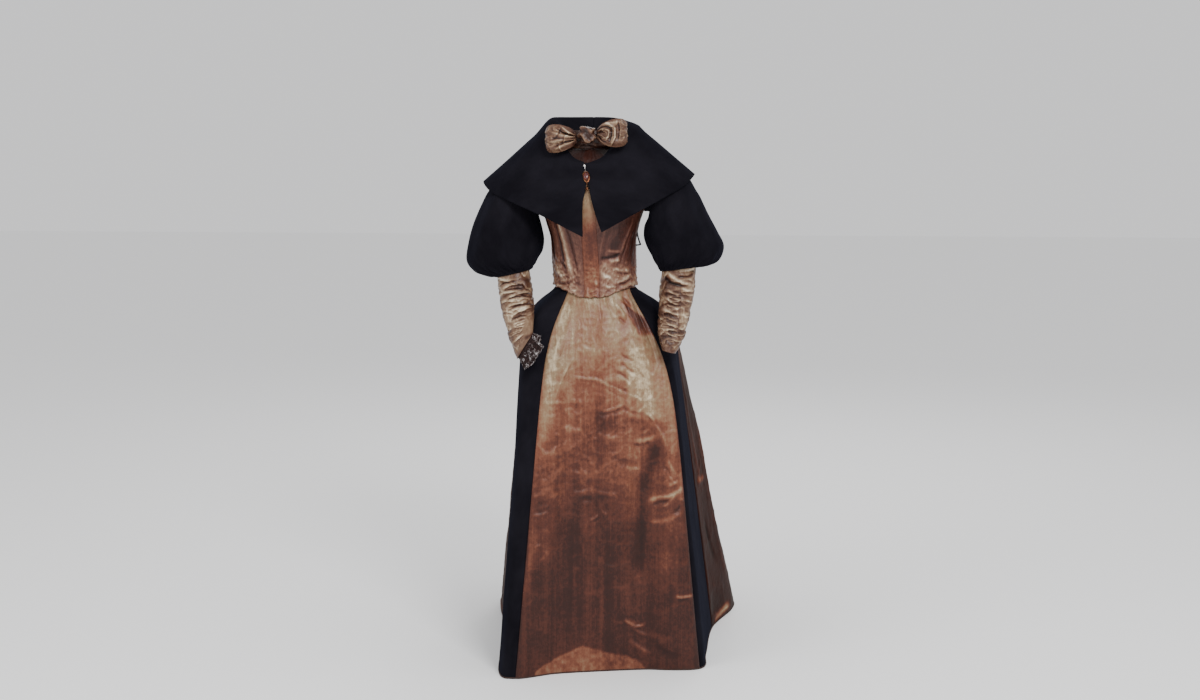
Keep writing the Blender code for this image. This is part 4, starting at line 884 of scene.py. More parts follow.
# its folds take a stronger painted shade, for the sleeves and the bow
pale_satin = satin("pale satin", PALE_COLOURS, streaks=0.05, shine=0.34, depth=0.08)
turn, h = np.meshgrid(np.linspace(-math.pi, math.pi, 150, endpoint=False),
                      np.linspace(COLLAR_SECTIONS[0][0], COLLAR_SECTIONS[-1][0], 24))
table = np.array(COLLAR_SECTIONS)
radius, front = np.moveaxis(smooth(table[:, 0], table[:, 1:], h), -1, 0)
reach = radius + front * np.maximum(0.0, np.cos(turn)) ** 2
points = np.stack((reach * np.sin(turn), -reach * np.cos(turn), h), -1)
rise = strokes(COLLAR_CREASES, turn, h, (0.063, 1.0), 1.8) / 1000
# its colour darker towards the front, as painted shade under the bow
collar = cloth("collar", points, rise - 0.0008, SATIN, pale_satin, 0.44 - 0.2 * np.cos(turn), ring=True)
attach(collar, "root")
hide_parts("bodice_collar")


# Cape collar: two halves of the black velvet over stiff canvas, rolled at the neck and spread over the
# sleeve heads, hooked together in front and seamed behind.
CAPE_PROFILES = [
    # angle, then radius and height of the neck edge, the roll, the shoulder and the hem
    (0, 0.1, 1.29, 0.1135, 1.262, 0.137, 1.205, 0.143, 1.1),
    (20, 0.097, 1.303, 0.112, 1.285, 0.14, 1.218, 0.156, 1.128),
    (40, 0.085, 1.328, 0.105, 1.325, 0.144, 1.262, 0.182, 1.16),
    (60, 0.07, 1.35, 0.098, 1.368, 0.147, 1.315, 0.226, 1.193),
    (75, 0.0655, 1.364, 0.097, 1.394, 0.149, 1.343, 0.264, 1.218),
    (90, 0.0631, 1.367, 0.097, 1.404, 0.15, 1.355, 0.282, 1.243),
    (110, 0.0631, 1.367, 0.095, 1.406, 0.148, 1.35, 0.255, 1.225),
    (135, 0.0631, 1.367, 0.092, 1.406, 0.142, 1.33, 0.205, 1.185),
    (160, 0.0631, 1.367, 0.09, 1.406, 0.135, 1.315, 0.17, 1.155),
    (180, 0.0631, 1.367, 0.09, 1.406, 0.132, 1.31, 0.162, 1.145),
]
CAPE_STOPS = (0.0, 0.18, 0.48, 1.0)
CAPE_SIDES = {
    # side: sign, reach and lift of the shoulder tip, drop of the roll
    "left": (1, 0.925, 0.022, 0.012),
    "right": (-1, 1.0, 0.0, 0.0),
}
CAPE_COLUMNS, CAPE_ROWS = 130, 76
CAPE_SEAM_ANGLE = 0.14
CAPE_UNIT = (0.003, 0.26)  # metres of cloth to one degree, and from neck to hem
CAPE_FRONT_EDGES = [
    # share, x of the left front edge, x of the right front edge
    (0.0, -0.007, -0.0085),
    (0.14, -0.003, -0.0045),
    (0.28, 0.0012, -0.0006),
    (0.42, 0.0075, -0.004),
    (0.56, 0.013, -0.0098),
    (1.0, 0.0336, -0.0118),
]
CAPE_SOFT = [
    # angle and share of one end, angle and share of the other, bow, half width and rise in millimetres
    (30, 0.3, 26, 0.95, 0.004, 14.0, 1.6),
    (52, 0.25, 48, 0.98, 0.004, 12.0, -1.8),
    (70, 0.3, 66, 1.0, 0.004, 13.0, 1.8),
    (104, 0.3, 112, 1.0, 0.004, 14.0, -1.8),
    (128, 0.35, 132, 0.98, 0.004, 13.0, 1.8),
    (152, 0.35, 156, 0.98, 0.004, 12.0, -1.6),
]


def cape(side, angle, share):
    """The cape's surface: angles from the centre front, and one share of the way from neck to hem."""
    sign, reach, lift, drop = CAPE_SIDES[side]
    table = np.array(CAPE_PROFILES)
    profile = smooth(table[:, 0], table[:, 1:], angle)
    stops = np.stack([profile[..., 2 * k:2 * k + 2] for k in range(4)])
    radius, height = np.moveaxis(smooth(CAPE_STOPS, stops, share), -1, 0)
    sideways = np.sin(np.radians(angle)) ** 4
    out = max(0.0, share - CAPE_STOPS[1]) * sideways
    radius = radius * (1 + (reach - 1) * out)
    height = height + lift * out - drop * sideways * math.sin(math.pi * min(share / 0.36, 1.0))
    a = np.radians(angle)
    return np.stack((sign * radius * np.sin(a), -radius * np.cos(a), height), -1)


def cape_front_angle(side, share):
    """Where the front edge lies, as an angle from the centre front."""
    stops, *edges = zip(*CAPE_FRONT_EDGES)
    x = smooth(stops, edges[0], share) if side == "left" else -smooth(stops, edges[1], share)
    front = cape(side, np.array(0.0), share)
    return math.degrees(math.asin(x / math.hypot(front[0], front[1])))


for side in CAPE_SIDES:
    shares = np.linspace(0.0, 1.0, CAPE_ROWS) ** 1.1
    fronts = [cape_front_angle(side, share) for share in shares]
    angles = np.stack([np.linspace(front, 180 - CAPE_SEAM_ANGLE, CAPE_COLUMNS) for front in fronts])
    points = np.stack([cape(side, row, share) for row, share in zip(angles, shares)])
    down = shares[:, None]
    rise = strokes(CAPE_SOFT, angles, down, CAPE_UNIT) / 1000
    rise += 0.001 * lumps(angles * CAPE_UNIT[0], down * CAPE_UNIT[1], 0.07, 61)
    rise *= np.clip((down - 0.2) / 0.2, 0, 1)
    half = cloth("velvet_cape_" + side, points, rise, VELVET, black_velvet, flip=side == "left", seam=0.0006)
    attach(half, "root")
    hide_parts("cape_" + side)


# Upper sleeves: great puffs of the velvet, gathered into the armhole and again above the elbow, and
# held out by a stiff lining. The gathers are many and uneven.
# Their rings run down from the shoulder, so a rise goes into a sleeve, and so it does below the elbow.
ROOT_GAP = 0.0014
PUFF_COLUMNS = 162
PUFF_GATHERS = 9
PUFF_GATHER_DEPTH = 0.0036
CAPE_CLEARANCE = 0.0012
PUFF_RINGS = {
    # side: inner x and height, outer x and height, y, half depth
    "right": [
        (0.15, 1.165, 0.175, 1.3, 0.0, 0.07),
        (0.146, 1.152, 0.215, 1.285, 0.0, 0.082),
        (0.142, 1.138, 0.25, 1.245, -0.005, 0.087),
        (0.135, 1.12, 0.278, 1.195, -0.01, 0.09),
        (0.129, 1.095, 0.306, 1.135, -0.015, 0.092),
        (0.133, 1.068, 0.323, 1.08, -0.02, 0.092),
        (0.144, 1.049, 0.328, 1.04, -0.025, 0.088),
        (0.153, 1.036, 0.31, 1.016, -0.03, 0.075),
        (0.1585, 1.027, 0.28, 1.004, -0.038, 0.058),
        (0.1612, 1.018, 0.2508, 0.998, -0.045, 0.0436),
    ],
    "left": [
        (0.15, 1.165, 0.172, 1.3, 0.0, 0.07),
        (0.144, 1.15, 0.208, 1.29, 0.0, 0.082),
        (0.138, 1.138, 0.242, 1.26, 0.002, 0.086),
        (0.132, 1.124, 0.268, 1.215, 0.004, 0.087),
        (0.13, 1.102, 0.293, 1.16, 0.004, 0.087),
        (0.136, 1.08, 0.318, 1.112, 0.002, 0.086),
        (0.146, 1.06, 0.332, 1.08, 0.0, 0.083),
        (0.156, 1.043, 0.32, 1.048, -0.004, 0.074),
        (0.166, 1.028, 0.293, 1.032, -0.009, 0.059),
        (0.1716, 1.0145, 0.2644, 1.0288, -0.015, 0.0436),
    ],
}
PUFF_SOFT = [
    # turn and ring of one end, turn and ring of the other, bow, half width and rise in millimetres
    (0.4, 2.0, 0.6, 6.5, 0.006, 16.0, 2.4),
    (1.1, 2.2, 1.0, 7.0, -0.006, 13.0, -2.6),
    (1.7, 2.0, 1.6, 6.8, 0.006, 15.0, 2.6),
    (2.3, 2.4, 2.2, 7.2, -0.006, 12.0, -2.2),
    (2.9, 2.0, 2.8, 6.6, 0.006, 14.0, 2.0),
    (3.8, 2.2, 3.7, 7.0, -0.006, 13.0, -2.2),
    (4.6, 2.0, 4.7, 6.8, 0.006, 15.0, 2.6),
    (5.5, 2.4, 5.3, 7.0, 0.006, 13.0, -2.4),
]


def ring_points(rows, turn, sign):
    """Points of leaning rings: turn 0 is a ring's outer point, and a quarter turn its front."""
    inner_x, inner_h, outer_x, outer_h, y, half_depth = np.moveaxis(np.asarray(rows)[..., None, :], -1, 0)
    outer = (1 + np.cos(turn)) / 2
    return np.stack((sign * (inner_x + (outer_x - inner_x) * outer), y - half_depth * np.sin(turn),
                     inner_h + (outer_h - inner_h) * outer), -1)


turn = np.linspace(0, math.tau, PUFF_COLUMNS, endpoint=False)
at = np.concatenate((np.linspace(0, 1, 14)[:-1], np.linspace(1, 8, 44)[:-1], np.linspace(8, 10, 26)))
down = at[:, None]
for side, sign in (("left", 1), ("right", -1)):
    rows = PUFF_RINGS[side]
    h = ARMHOLE_HEIGHT + (ARMHOLE_HALF_HEIGHT + 0.002) * np.cos(turn)
    angle = 90 - (ARMHOLE_HALF_ANGLE + 0.8) * np.sin(turn)
    along = bodice(angle, h + 0.0015) - bodice(angle, h - 0.0015)
    out = np.cross(bodice(angle + 0.5, h) - bodice(angle - 0.5, h), along)
    root = bodice(angle, h) + out / np.linalg.norm(out, axis=1, keepdims=True) * ROOT_GAP
    root[:, 0] *= sign
    table = np.concatenate((root[None], ring_points(rows, turn, sign)))
    points = smooth(range(len(table)), table, at)
    ends = ring_points(rows, np.array([0.0, math.pi]), sign).mean(axis=1)
    centre = smooth(range(len(table)), np.concatenate((ends[:1], ends)), at)
    away = points - centre[:, None]
    away /= np.linalg.norm(away, axis=2, keepdims=True)
    near_elbow = np.maximum(0.0, 1 - np.abs(down - 8.4) / 1.6)
    near_root = np.maximum(0.0, 1 - np.abs(down - 1.0))
    # deep gathers at the armhole and the elbow, and finer ones on top of them
    gather = PUFF_GATHER_DEPTH * (near_elbow + 0.6 * near_root) * np.cos(PUFF_GATHERS * turn)
    points = points + away * gather[..., None]
    wander = turn + 0.1 * lumps(turn[None] * 0.1, down * 0.05, 0.09, 71)
    gathered = np.clip((down - 6.6) / 1.8, 0, 1) ** 1.5 * np.clip((10.05 - down) / 0.5, 0, 1)
    rise = 0.0016 * gathered * (np.cos(27 * wander) + 0.6 * np.cos(43 * wander + 1.0))
    rise += 0.0012 * near_root * np.cos(31 * wander)
    rise += strokes(PUFF_SOFT, turn[None], down, (0.085, 0.03)) / 1000
    rise += 0.0012 * lumps(turn[None] * 0.09, down * 0.03, 0.05, 72) * np.clip(down / 1.5, 0, 1)
    # drawn in where the cape lies on it
    under_cape = np.clip((points[..., 2] - 1.205) / 0.015, 0, 1)
    rise = rise * (1 - under_cape) + CAPE_CLEARANCE * under_cape
    rise *= np.clip(down / 0.8, 0, 1) * np.clip((10.0 - down) / 0.4, 0, 1)
    puff = cloth("puff_" + side, points, rise, VELVET, black_velvet, ring=True, flip=side == "left")
    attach(puff, "root")
    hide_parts("puff_sleeve_" + side)


# Lower sleeves: close satin sleeves from the elbow to the wrist, cut a little long so that they wrinkle
# on the arm. A seam runs down the wearer's left one, with the cloth eased into short puckers beside it.
SLEEVE_COLUMNS, SLEEVE_ROWS = 110, 126
SLEEVE_UNIT = (0.037, 0.235)  # metres of cloth to one radian round, and to the whole length
SLEEVE_CLEARANCE = 0.0022
LOWER_RINGS = {
    "right": [
        (0.164, 1.017, 0.248, 0.998, -0.045, 0.0405),
        (0.156, 0.968, 0.242, 0.96, -0.062, 0.041),
        (0.148, 0.935, 0.231, 0.92, -0.092, 0.039),
        (0.143, 0.905, 0.215, 0.882, -0.122, 0.035),
        (0.14, 0.885, 0.199, 0.845, -0.15, 0.031),
        (0.138, 0.868, 0.177, 0.802, -0.176, 0.027),
    ],
    "left": [
        (0.1745, 1.0145, 0.2615, 1.0285, -0.015, 0.0405),
        (0.168, 0.965, 0.258, 0.965, -0.036, 0.041),
        (0.17, 0.928, 0.252, 0.928, -0.06, 0.039),
        (0.169, 0.89, 0.243, 0.885, -0.082, 0.035),
        (0.171, 0.86, 0.234, 0.85, -0.098, 0.03),
        (0.183, 0.822, 0.215, 0.814, -0.112, 0.024),
    ],
}
ELBOW_FOLDS = [
    # share of the length, rise, half length, turn of its middle, slant
    (0.07, 0.004, 0.03, 0.3, 0.02),
    (0.19, 0.0035, 0.028, -0.5, -0.03),
    (0.31, 0.004, 0.026, 0.6, 0.03),
    (0.44, 0.0032, 0.026, -0.2, -0.02),
    (0.57, 0.003, 0.026, 0.4, 0.02),
    (0.7, 0.0026, 0.026, 0.0, -0.01),
]
SLEEVE_CREASES = {
    # side: turn and share of one end, turn and share of the other, bow, half width and rise in millimetres
    "right": [
        (0.6, 0.05, 1.6, 0.11, 0.003, 3.4, 2.6),
        (0.75, 0.11, 1.9, 0.12, 0.004, 2.8, -2.6),
        (1.0, 0.15, 2.2, 0.13, 0.004, 3.2, 3.0),
        (0.9, 0.2, 2.0, 0.19, 0.003, 2.6, -2.8),
        (0.45, 0.24, 1.7, 0.21, 0.004, 3.2, 2.8),
        (1.3, 0.27, 2.6, 0.23, 0.004, 3.0, 3.0),
        (1.1, 0.31, 2.4, 0.29, 0.004, 2.6, -2.6),
        (0.5, 0.34, 1.5, 0.31, 0.003, 3.0, 2.2),
        (1.1, 0.39, 2.2, 0.365, 0.004, 3.4, 2.8),
        (1.2, 0.43, 2.5, 0.41, 0.003, 2.6, -2.2),
        (0.4, 0.45, 1.3, 0.47, 0.003, 3.2, 2.0),
        (1.3, 0.51, 2.5, 0.45, 0.005, 3.4, 2.6),
        (1.2, 0.57, 2.2, 0.56, 0.003, 2.8, -1.8),
        (1.3, 0.66, 2.4, 0.68, 0.004, 3.6, 2.2),
        (0.7, 0.74, 1.7, 0.76, 0.003, 3.0, 1.6),
        (1.2, 0.84, 2.2, 0.88, 0.003, 3.0, 1.8),
        (-0.6, 0.1, -1.8, 0.13, 0.004, 3.4, 2.4),
        (-1.0, 0.22, -2.4, 0.2, 0.004, 3.2, 2.6),
        (-0.5, 0.33, -1.8, 0.35, 0.004, 3.2, 2.4),
        (-1.1, 0.47, -2.3, 0.45, 0.004, 3.4, 2.2),
        (-0.6, 0.6, -1.7, 0.62, 0.004, 3.2, 1.8),
        (2.9, 0.12, 3.8, 0.16, 0.003, 3.0, 2.2),
        (2.8, 0.33, 3.9, 0.3, 0.003, 3.0, 2.2),
    ],
    "left": [
        (2.2, 0.01, 0.75, 0.135, 0.006, 4.0, 3.6),
        (2.35, 0.06, 1.0, 0.15, 0.006, 3.2, -3.2),
        (1.9, -0.02, 0.2, 0.02, 0.005, 3.6, 3.0),
        (1.6, 0.06, 0.4, 0.06, 0.004, 3.0, -2.4),
        (1.25, 0.16, 0.1, 0.2, 0.004, 3.2, 2.2),
        (2.02, 0.185, 1.3, 0.235, 0.002, 3.0, 2.6),
        (1.92, 0.255, 1.26, 0.3, 0.001, 2.6, 2.0),
        (2.06, 0.285, 1.36, 0.37, 0.002, 3.2, 2.8),
        (2.0, 0.38, 1.3, 0.425, -0.001, 2.8, 2.4),
        (2.04, 0.44, 1.22, 0.485, 0.002, 3.4, 2.8),
        (1.9, 0.53, 1.28, 0.555, 0.001, 2.6, 2.2),
        (2.0, 0.585, 1.16, 0.64, 0.002, 3.2, 2.6),
        (1.88, 0.68, 1.2, 0.695, -0.001, 2.8, 2.0),
        (1.9, 0.745, 1.1, 0.78, 0.002, 3.4, 2.2),
        (1.78, 0.85, 1.16, 0.85, 0.001, 3.0, 1.6),
        (2.1, 0.19, 1.86, 0.62, 0.0, 1.8, -1.4),
        (1.34, 0.15, 1.06, 0.72, 0.0, 1.8, -1.6),
        (0.9, 0.3, 0.2, 0.34, 0.003, 3.4, 1.6),
        (0.8, 0.5, 0.1, 0.52, 0.003, 3.4, 1.4),
        (-0.6, 0.11, -1.8, 0.14, 0.004, 3.4, 2.4),
        (-1.0, 0.23, -2.4, 0.21, 0.004, 3.2, 2.6),
        (-0.5, 0.35, -1.8, 0.37, 0.004, 3.2, 2.2),
        (-1.1, 0.49, -2.3, 0.47, 0.004, 3.4, 2.0),
        (2.7, 0.13, 3.8, 0.17, 0.003, 3.0, 2.4),
        (2.8, 0.33, 3.9, 0.31, 0.003, 3.0, 2.0),
        (2.7, 0.56, 3.6, 0.54, 0.003, 3.0, 1.8),
    ],
}
# Painted shade near the elbow, down the pucker column and at the cuff end, and painted highlights on the
# outer front, laid as strokes.
SLEEVE_LIGHT_SHADE_AND_TONES = {
    # side: turn and share of both ends, bow, half width in millimetres, how much paler
    "right": [(1.6, 0.0, 2.5, 0.35, 0.0, 12.0, -0.1), (0.7, 0.1, 1.2, 0.7, 0.0, 14.0, 0.08),
              (1.8, 0.9, 2.8, 1.0, 0.0, 7.0, -0.25), (2.6, 0.05, 2.9, 0.6, 0.0, 8.0, -0.12)],
    "left": [(1.74, 0.16, 1.46, 0.9, 0.0, 13.0, -0.17), (0.6, 0.2, 0.3, 0.9, 0.0, 12.0, 0.1),
             (2.0, 0.0, 0.6, 0.04, 0.0, 6.0, -0.12), (1.5, 0.9, 1.0, 1.0, 0.0, 8.0, -0.1)],
}


def lower_sleeve(side, turn, share):
    """The fitted sleeve's plain surface at turns round it and shares of the way to the wrist."""
    rows = np.array(LOWER_RINGS[side])
    row = smooth(np.linspace(0, 1, len(rows)), rows, share)
    return ring_points(row, turn, 1 if side == "left" else -1)


turn, share = np.linspace(0, math.tau, SLEEVE_COLUMNS, endpoint=False), np.linspace(0, 1, SLEEVE_ROWS)
wide_turn, down = np.where(turn > 4.2, turn - math.tau, turn)[None], share[:, None]
across, along = turn[None] * SLEEVE_UNIT[0], down * SLEEVE_UNIT[1]
for side in LOWER_RINGS:
    points = lower_sleeve(side, turn, share)
    rise = 1.25 * strokes(SLEEVE_CREASES[side], wide_turn, down, SLEEVE_UNIT, 2.2) / 1000
    for at, up, half, middle, slant in ELBOW_FOLDS:
        off = (down - at - slant * np.cos(turn)) / half
        rise += 0.35 * up * np.exp(-off * off) * (0.6 + 0.4 * np.cos(turn - math.pi / 2 - middle))
    rise += 0.0024 * crushed(across * 0.9, along, 0.017, 81) + 0.0018 * lumps(across * 0.5, along, 0.013, 82)
    rise += 0.0012 * crushed(across + down * 0.1, along, 0.01, 84)
    rise *= np.clip((down + 0.02) / 0.05, 0, 1) * np.clip((1.0 - down) / 0.08, 0.08, 1)
    # drawn in where the forearm lies against the skirt
    against_skirt = np.clip((0.17 - np.abs(points[..., 0])) / 0.01, 0, 1)
    against_skirt *= np.exp(-(((points[..., 2] - 0.88) / 0.045) ** 2))
    rise = rise * (1 - against_skirt) + SLEEVE_CLEARANCE * against_skirt
    # the colour: paler towards the outer front as painted light, with the strokes above
    tone = 0.45 + 0.05 * np.cos(wide_turn - 1.0) - 0.01 * down
    tone += strokes(SLEEVE_LIGHT_SHADE_AND_TONES[side], wide_turn, down, SLEEVE_UNIT)
    tone += 0.04 * lumps(wide_turn * 0.037, down * 0.2, 0.02, 83)
    sleeve = cloth("fitted_sleeve_" + side, points, rise, SATIN, pale_satin, tone, ring=True,
                   flip=side == "left")
    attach(sleeve, "root")
    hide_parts("lower_sleeve_" + side)


# Cuff frill: a gathered frill in the wearer's right cuff, fine cream and grey bobbin lace laid over
# brown net, whose brown is partly painted shade inside the frill. It spills out over the edge of the velvet.
SLEEVE_WALL = 0.0015
FRILL_WAVES = 8
FRILL_HIDDEN = 0.14
FRILL_ROOT = 0.95
FRILL_GAP = 0.0022
FRILL_LENGTH = 0.042
FRILL_HANG = np.array((0.0, -0.55, -0.15))
FRILL_SPREAD = 0.004
FRILL_WAVE_DEPTH = 0.0055
LACE_THICKNESS = 0.0008
LACE_COLUMNS, LACE_ROWS = 200, 34
THREAD_RADIUS = 0.00034
THREAD_LIFT = 0.0008
THREAD_ROWS = ((0.36, 20), (0.52, 28), (0.66, 36), (0.82, 50), (0.95, 60))  # share, number of loops


def frill(turn, share):
    """The frill's surface at turns round it and shares of the way from inside the cuff to its edge."""
    place = FRILL_ROOT + (1 - FRILL_ROOT) * np.minimum(share / FRILL_HIDDEN, 1.0)
    above, below = place - 0.004, np.minimum(place + 0.004, 1.0)
    across = lower_sleeve("right", turn + 0.02, place) - lower_sleeve("right", turn - 0.02, place)
    along = lower_sleeve("right", turn, below) - lower_sleeve("right", turn, above)
    out = -np.cross(across, along)
    out /= np.linalg.norm(out, axis=-1, keepdims=True)
    start = lower_sleeve("right", turn, place) - out * (SLEEVE_WALL + FRILL_GAP)
    near, far = ring_points(LOWER_RINGS["right"][-1:], np.array([0.0, math.pi]), -1)[0]
    slant = (near - far) / np.linalg.norm(near - far)
    fall = np.array((slant[2], 0.0, -slant[0])) * math.copysign(1.0, slant[2]) + FRILL_HANG
    fall /= np.linalg.norm(fall)
    free = np.maximum(0.0, (share - FRILL_HIDDEN) / (1 - FRILL_HIDDEN))[:, None]
    rim = start - (near + far) / 2
    rim /= np.linalg.norm(rim, axis=-1, keepdims=True)
    wave = FRILL_WAVE_DEPTH * np.cos(FRILL_WAVES * turn)
    wave = wave + 0.0014 * np.cos(19 * turn + 1) + 0.001 * np.cos(31 * turn)
    uneven = 1.04 - 0.42 * np.abs(np.cos(turn - 0.2)) ** 3
    uneven = uneven + 0.05 * np.cos(5 * turn + 1) + 0.06 * np.abs(np.sin(10 * turn))
    hang, spread = free * uneven * FRILL_LENGTH, free * (FRILL_SPREAD + wave)
    return start + fall * hang[..., None] + rim * spread[..., None]


net, tree, shader = new_finish("brown net")
weave = grain(tree, 300.0, 300.0, 4.0)
brown = two_tone(tree, weave, 0.42, (0.007, 0.004, 0.004), 0.74, (0.05, 0.027, 0.025))
join(tree, shader, {"Base Color": brown, "Normal": bump(tree, weave, 0.001), "Roughness": 0.85,
                    "Specular IOR Level": 0.1})
turn, share = np.linspace(0, math.tau, LACE_COLUMNS, endpoint=False), np.linspace(0, 1, LACE_ROWS)
points = frill(turn, share)
down = share[:, None]
rise = 0.0007 * lumps(turn[None] * 0.02, down * 0.04, 0.004, 91) * np.clip((down - 0.2) / 0.3, 0, 1)
lace = cloth("cuff_lace", points, rise, LACE_THICKNESS, net, ring=True)
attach(lace, "root")
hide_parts("cuff_frill_right")

random = np.random.default_rng(95)
line = bpy.data.curves.new("lace_threads", "CURVE")
line.dimensions = "3D"
around = np.linspace(0, math.tau, 11, endpoint=False)
for row, count in THREAD_ROWS:
    for k in range(count):
        middle = math.tau * (k + random.uniform(-0.3, 0.3)) / count
        size = random.uniform(0.9, 1.6)
        loop_turn = middle + 0.085 * size * np.cos(around)
        loop_share = np.clip(row + random.uniform(-0.03, 0.03) + 0.075 * size * np.sin(around), 0.2, 1.0)
        spot = np.stack([frill(np.array([a]), np.array([b]))[0, 0] for a, b in zip(loop_turn, loop_share)])
        near, far = (frill(np.array([a]), np.array([0.18]))[0, 0] for a in (middle, middle + math.pi))
        lay_thread(line, settle(spot + (near - far) / np.linalg.norm(near - far) * THREAD_LIFT))
line.bevel_depth, line.bevel_resolution = THREAD_RADIUS, 0
linen, tree, shader = new_finish("cream and grey lace thread")
mixed = two_tone(tree, speckle(tree, 130.0, 2.0), 0.42, (0.1, 0.078, 0.074), 0.62, (0.6, 0.56, 0.56))
join(tree, shader, {"Base Color": mixed, "Roughness": 0.8})
threads = piece("lace_threads", line, linen)
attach(threads, "root")


# Neck bow: a wide ribbon of the pale satin puffed into two loops, with folds that run out of the
# knot, and a knot of the same ribbon twisted tight. It is pinned to the collar.
BOW_CENTRE = np.array((0.0, -0.092, 1.359))
BOW_LOOP_PATH = [
    # share, out from the centre, forward
    (0.0, 0.0263, 0.006),
    (0.15, 0.042, 0.019),
    (0.35, 0.07, 0.025),
    (0.5, 0.095, 0.017),
    (0.6, 0.103, 0.005),
    (0.72, 0.093, -0.005),
    (1.0, 0.0263, -0.006),
]
BOW_HALF_WIDTHS = [(0.0, 0.014), (0.15, 0.026), (0.35, 0.035), (0.48, 0.034), (0.6, 0.023), (0.75, 0.024),
                   (1.0, 0.014)]
BOW_SIDES = {"left": (1, 0.0, 0.075), "right": (-1, -0.004, -0.055)}  # sign, lift and tilt of each loop
BOW_PLEATS = 3
BOW_PLEAT_DEPTH = 0.0028
BOW_BELLY = 0.01
BOW_CREASES = {
    # side: share round the loop and place across of both ends, bow, half width and rise in millimetres
    "left": [
        (0.04, 0.8, 0.38, 0.4, -0.007, 2.2, 2.6),
        (0.38, 0.4, 0.34, -0.7, -0.005, 2.2, 2.6),
        (0.04, 0.64, 0.33, 0.3, -0.006, 1.7, -2.6),
        (0.33, 0.3, 0.28, -0.62, -0.004, 1.7, -2.4),
        (0.04, 0.45, 0.29, 0.2, -0.005, 2.0, 2.4),
        (0.29, 0.2, 0.23, -0.5, -0.003, 2.0, 2.4),
        (0.04, 0.25, 0.22, 0.08, -0.003, 1.6, -2.4),
        (0.04, 0.0, 0.2, -0.3, -0.002, 2.0, 2.2),
        (0.05, -0.25, 0.22, -0.72, 0.002, 1.8, -2.2),
        (0.05, -0.5, 0.3, -0.95, 0.003, 2.2, 2.2),
        (0.44, 0.6, 0.42, -0.5, -0.003, 1.8, -2.2),
        (0.2, 0.95, 0.46, 0.75, 0.003, 2.2, 2.2),
        (0.3, -0.2, 0.14, -0.4, -0.002, 1.6, 1.8),
    ],
    "right": [
        (0.02, 0.4, 0.3, 0.86, 0.003, 2.6, 2.6),
        (0.02, 0.2, 0.34, 0.6, 0.003, 1.8, -2.8),
        (0.03, 0.1, 0.42, 0.4, 0.003, 2.8, 2.6),
        (0.03, -0.05, 0.44, 0.1, 0.003, 1.8, -2.4),
        (0.03, -0.2, 0.46, -0.2, -0.003, 2.8, 2.4),
        (0.04, -0.35, 0.4, -0.5, -0.003, 1.8, -2.2),
        (0.04, -0.5, 0.4, -0.72, -0.003, 2.6, 2.2),
        (0.3, 0.7, 0.46, -0.1, 0.004, 2.4, -1.8),
        (0.2, -0.95, 0.44, -0.85, 0.003, 2.4, 1.8),
    ],
}
KNOT_RADII = np.array((0.025, 0.0185, 0.0255))
KNOT_TIGHTNESS = 0.97
KNOT_FOLDS = 5
KNOT_FOLD_DEPTH = 0.00264
KNOT_PULL = 0.0014
KNOT_SQUARENESS = 0.82
BOW_UNIT = (0.2, 0.03)  # metres of cloth round the whole loop, and to half its width


def formed(name, shape):
    """A smooth mesh from a shape, which it uses up."""
    mesh = bpy.data.meshes.new(name)
    shape.to_mesh(mesh)
    shape.free()
    mesh.shade_smooth()
    return mesh


for side, (sign, drop, tilt) in BOW_SIDES.items():
    share, across = np.meshgrid(np.linspace(0, 1, 110), np.linspace(-1, 1, 54), indexing="ij")
    table = np.array(BOW_LOOP_PATH)
    out, forward = np.moveaxis(smooth(table[:, 0], table[:, 1:], share), -1, 0)
    half = smooth(*zip(*BOW_HALF_WIDTHS), share)
    full = 1 - np.abs(2 * share - 1)
    wave = BOW_PLEAT_DEPTH * np.cos(BOW_PLEATS * math.pi * across) * (0.5 + 0.5 * full)
    belly = BOW_BELLY * full * (1 - across**2)
    front = smooth([0, 0.56, 0.64, 1.0], [1.0, 1.0, -0.2, -0.2], share)
    height = half * across + drop + tilt * out
    points = BOW_CENTRE + np.stack((sign * out, -forward - front * (wave + belly), height), -1)
    rise = 1.2 * strokes(BOW_CREASES[side], share, across, BOW_UNIT, 1.6) / 1000
    rise += 0.0017 * crushed(share * BOW_UNIT[0] * 0.6, across * BOW_UNIT[1], 0.011, 101)
    # the colour: paler towards the loop's outer end, with painted shade where it leaves the knot and over its
    # back part, and painted highlights and shade along its creases
    tone = 0.43 + 0.05 * full + strokes(BOW_CREASES[side], share, across, BOW_UNIT) * 0.04
    tone -= 0.2 * np.exp(-((share / 0.1) ** 2)) + 0.15 * (share > 0.62)
    loop = cloth("bow_" + side, points, rise, SATIN, pale_satin, tone, flip=side == "left", seam=0.0)
    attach(loop, "root")
    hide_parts("bow_loop_" + side)

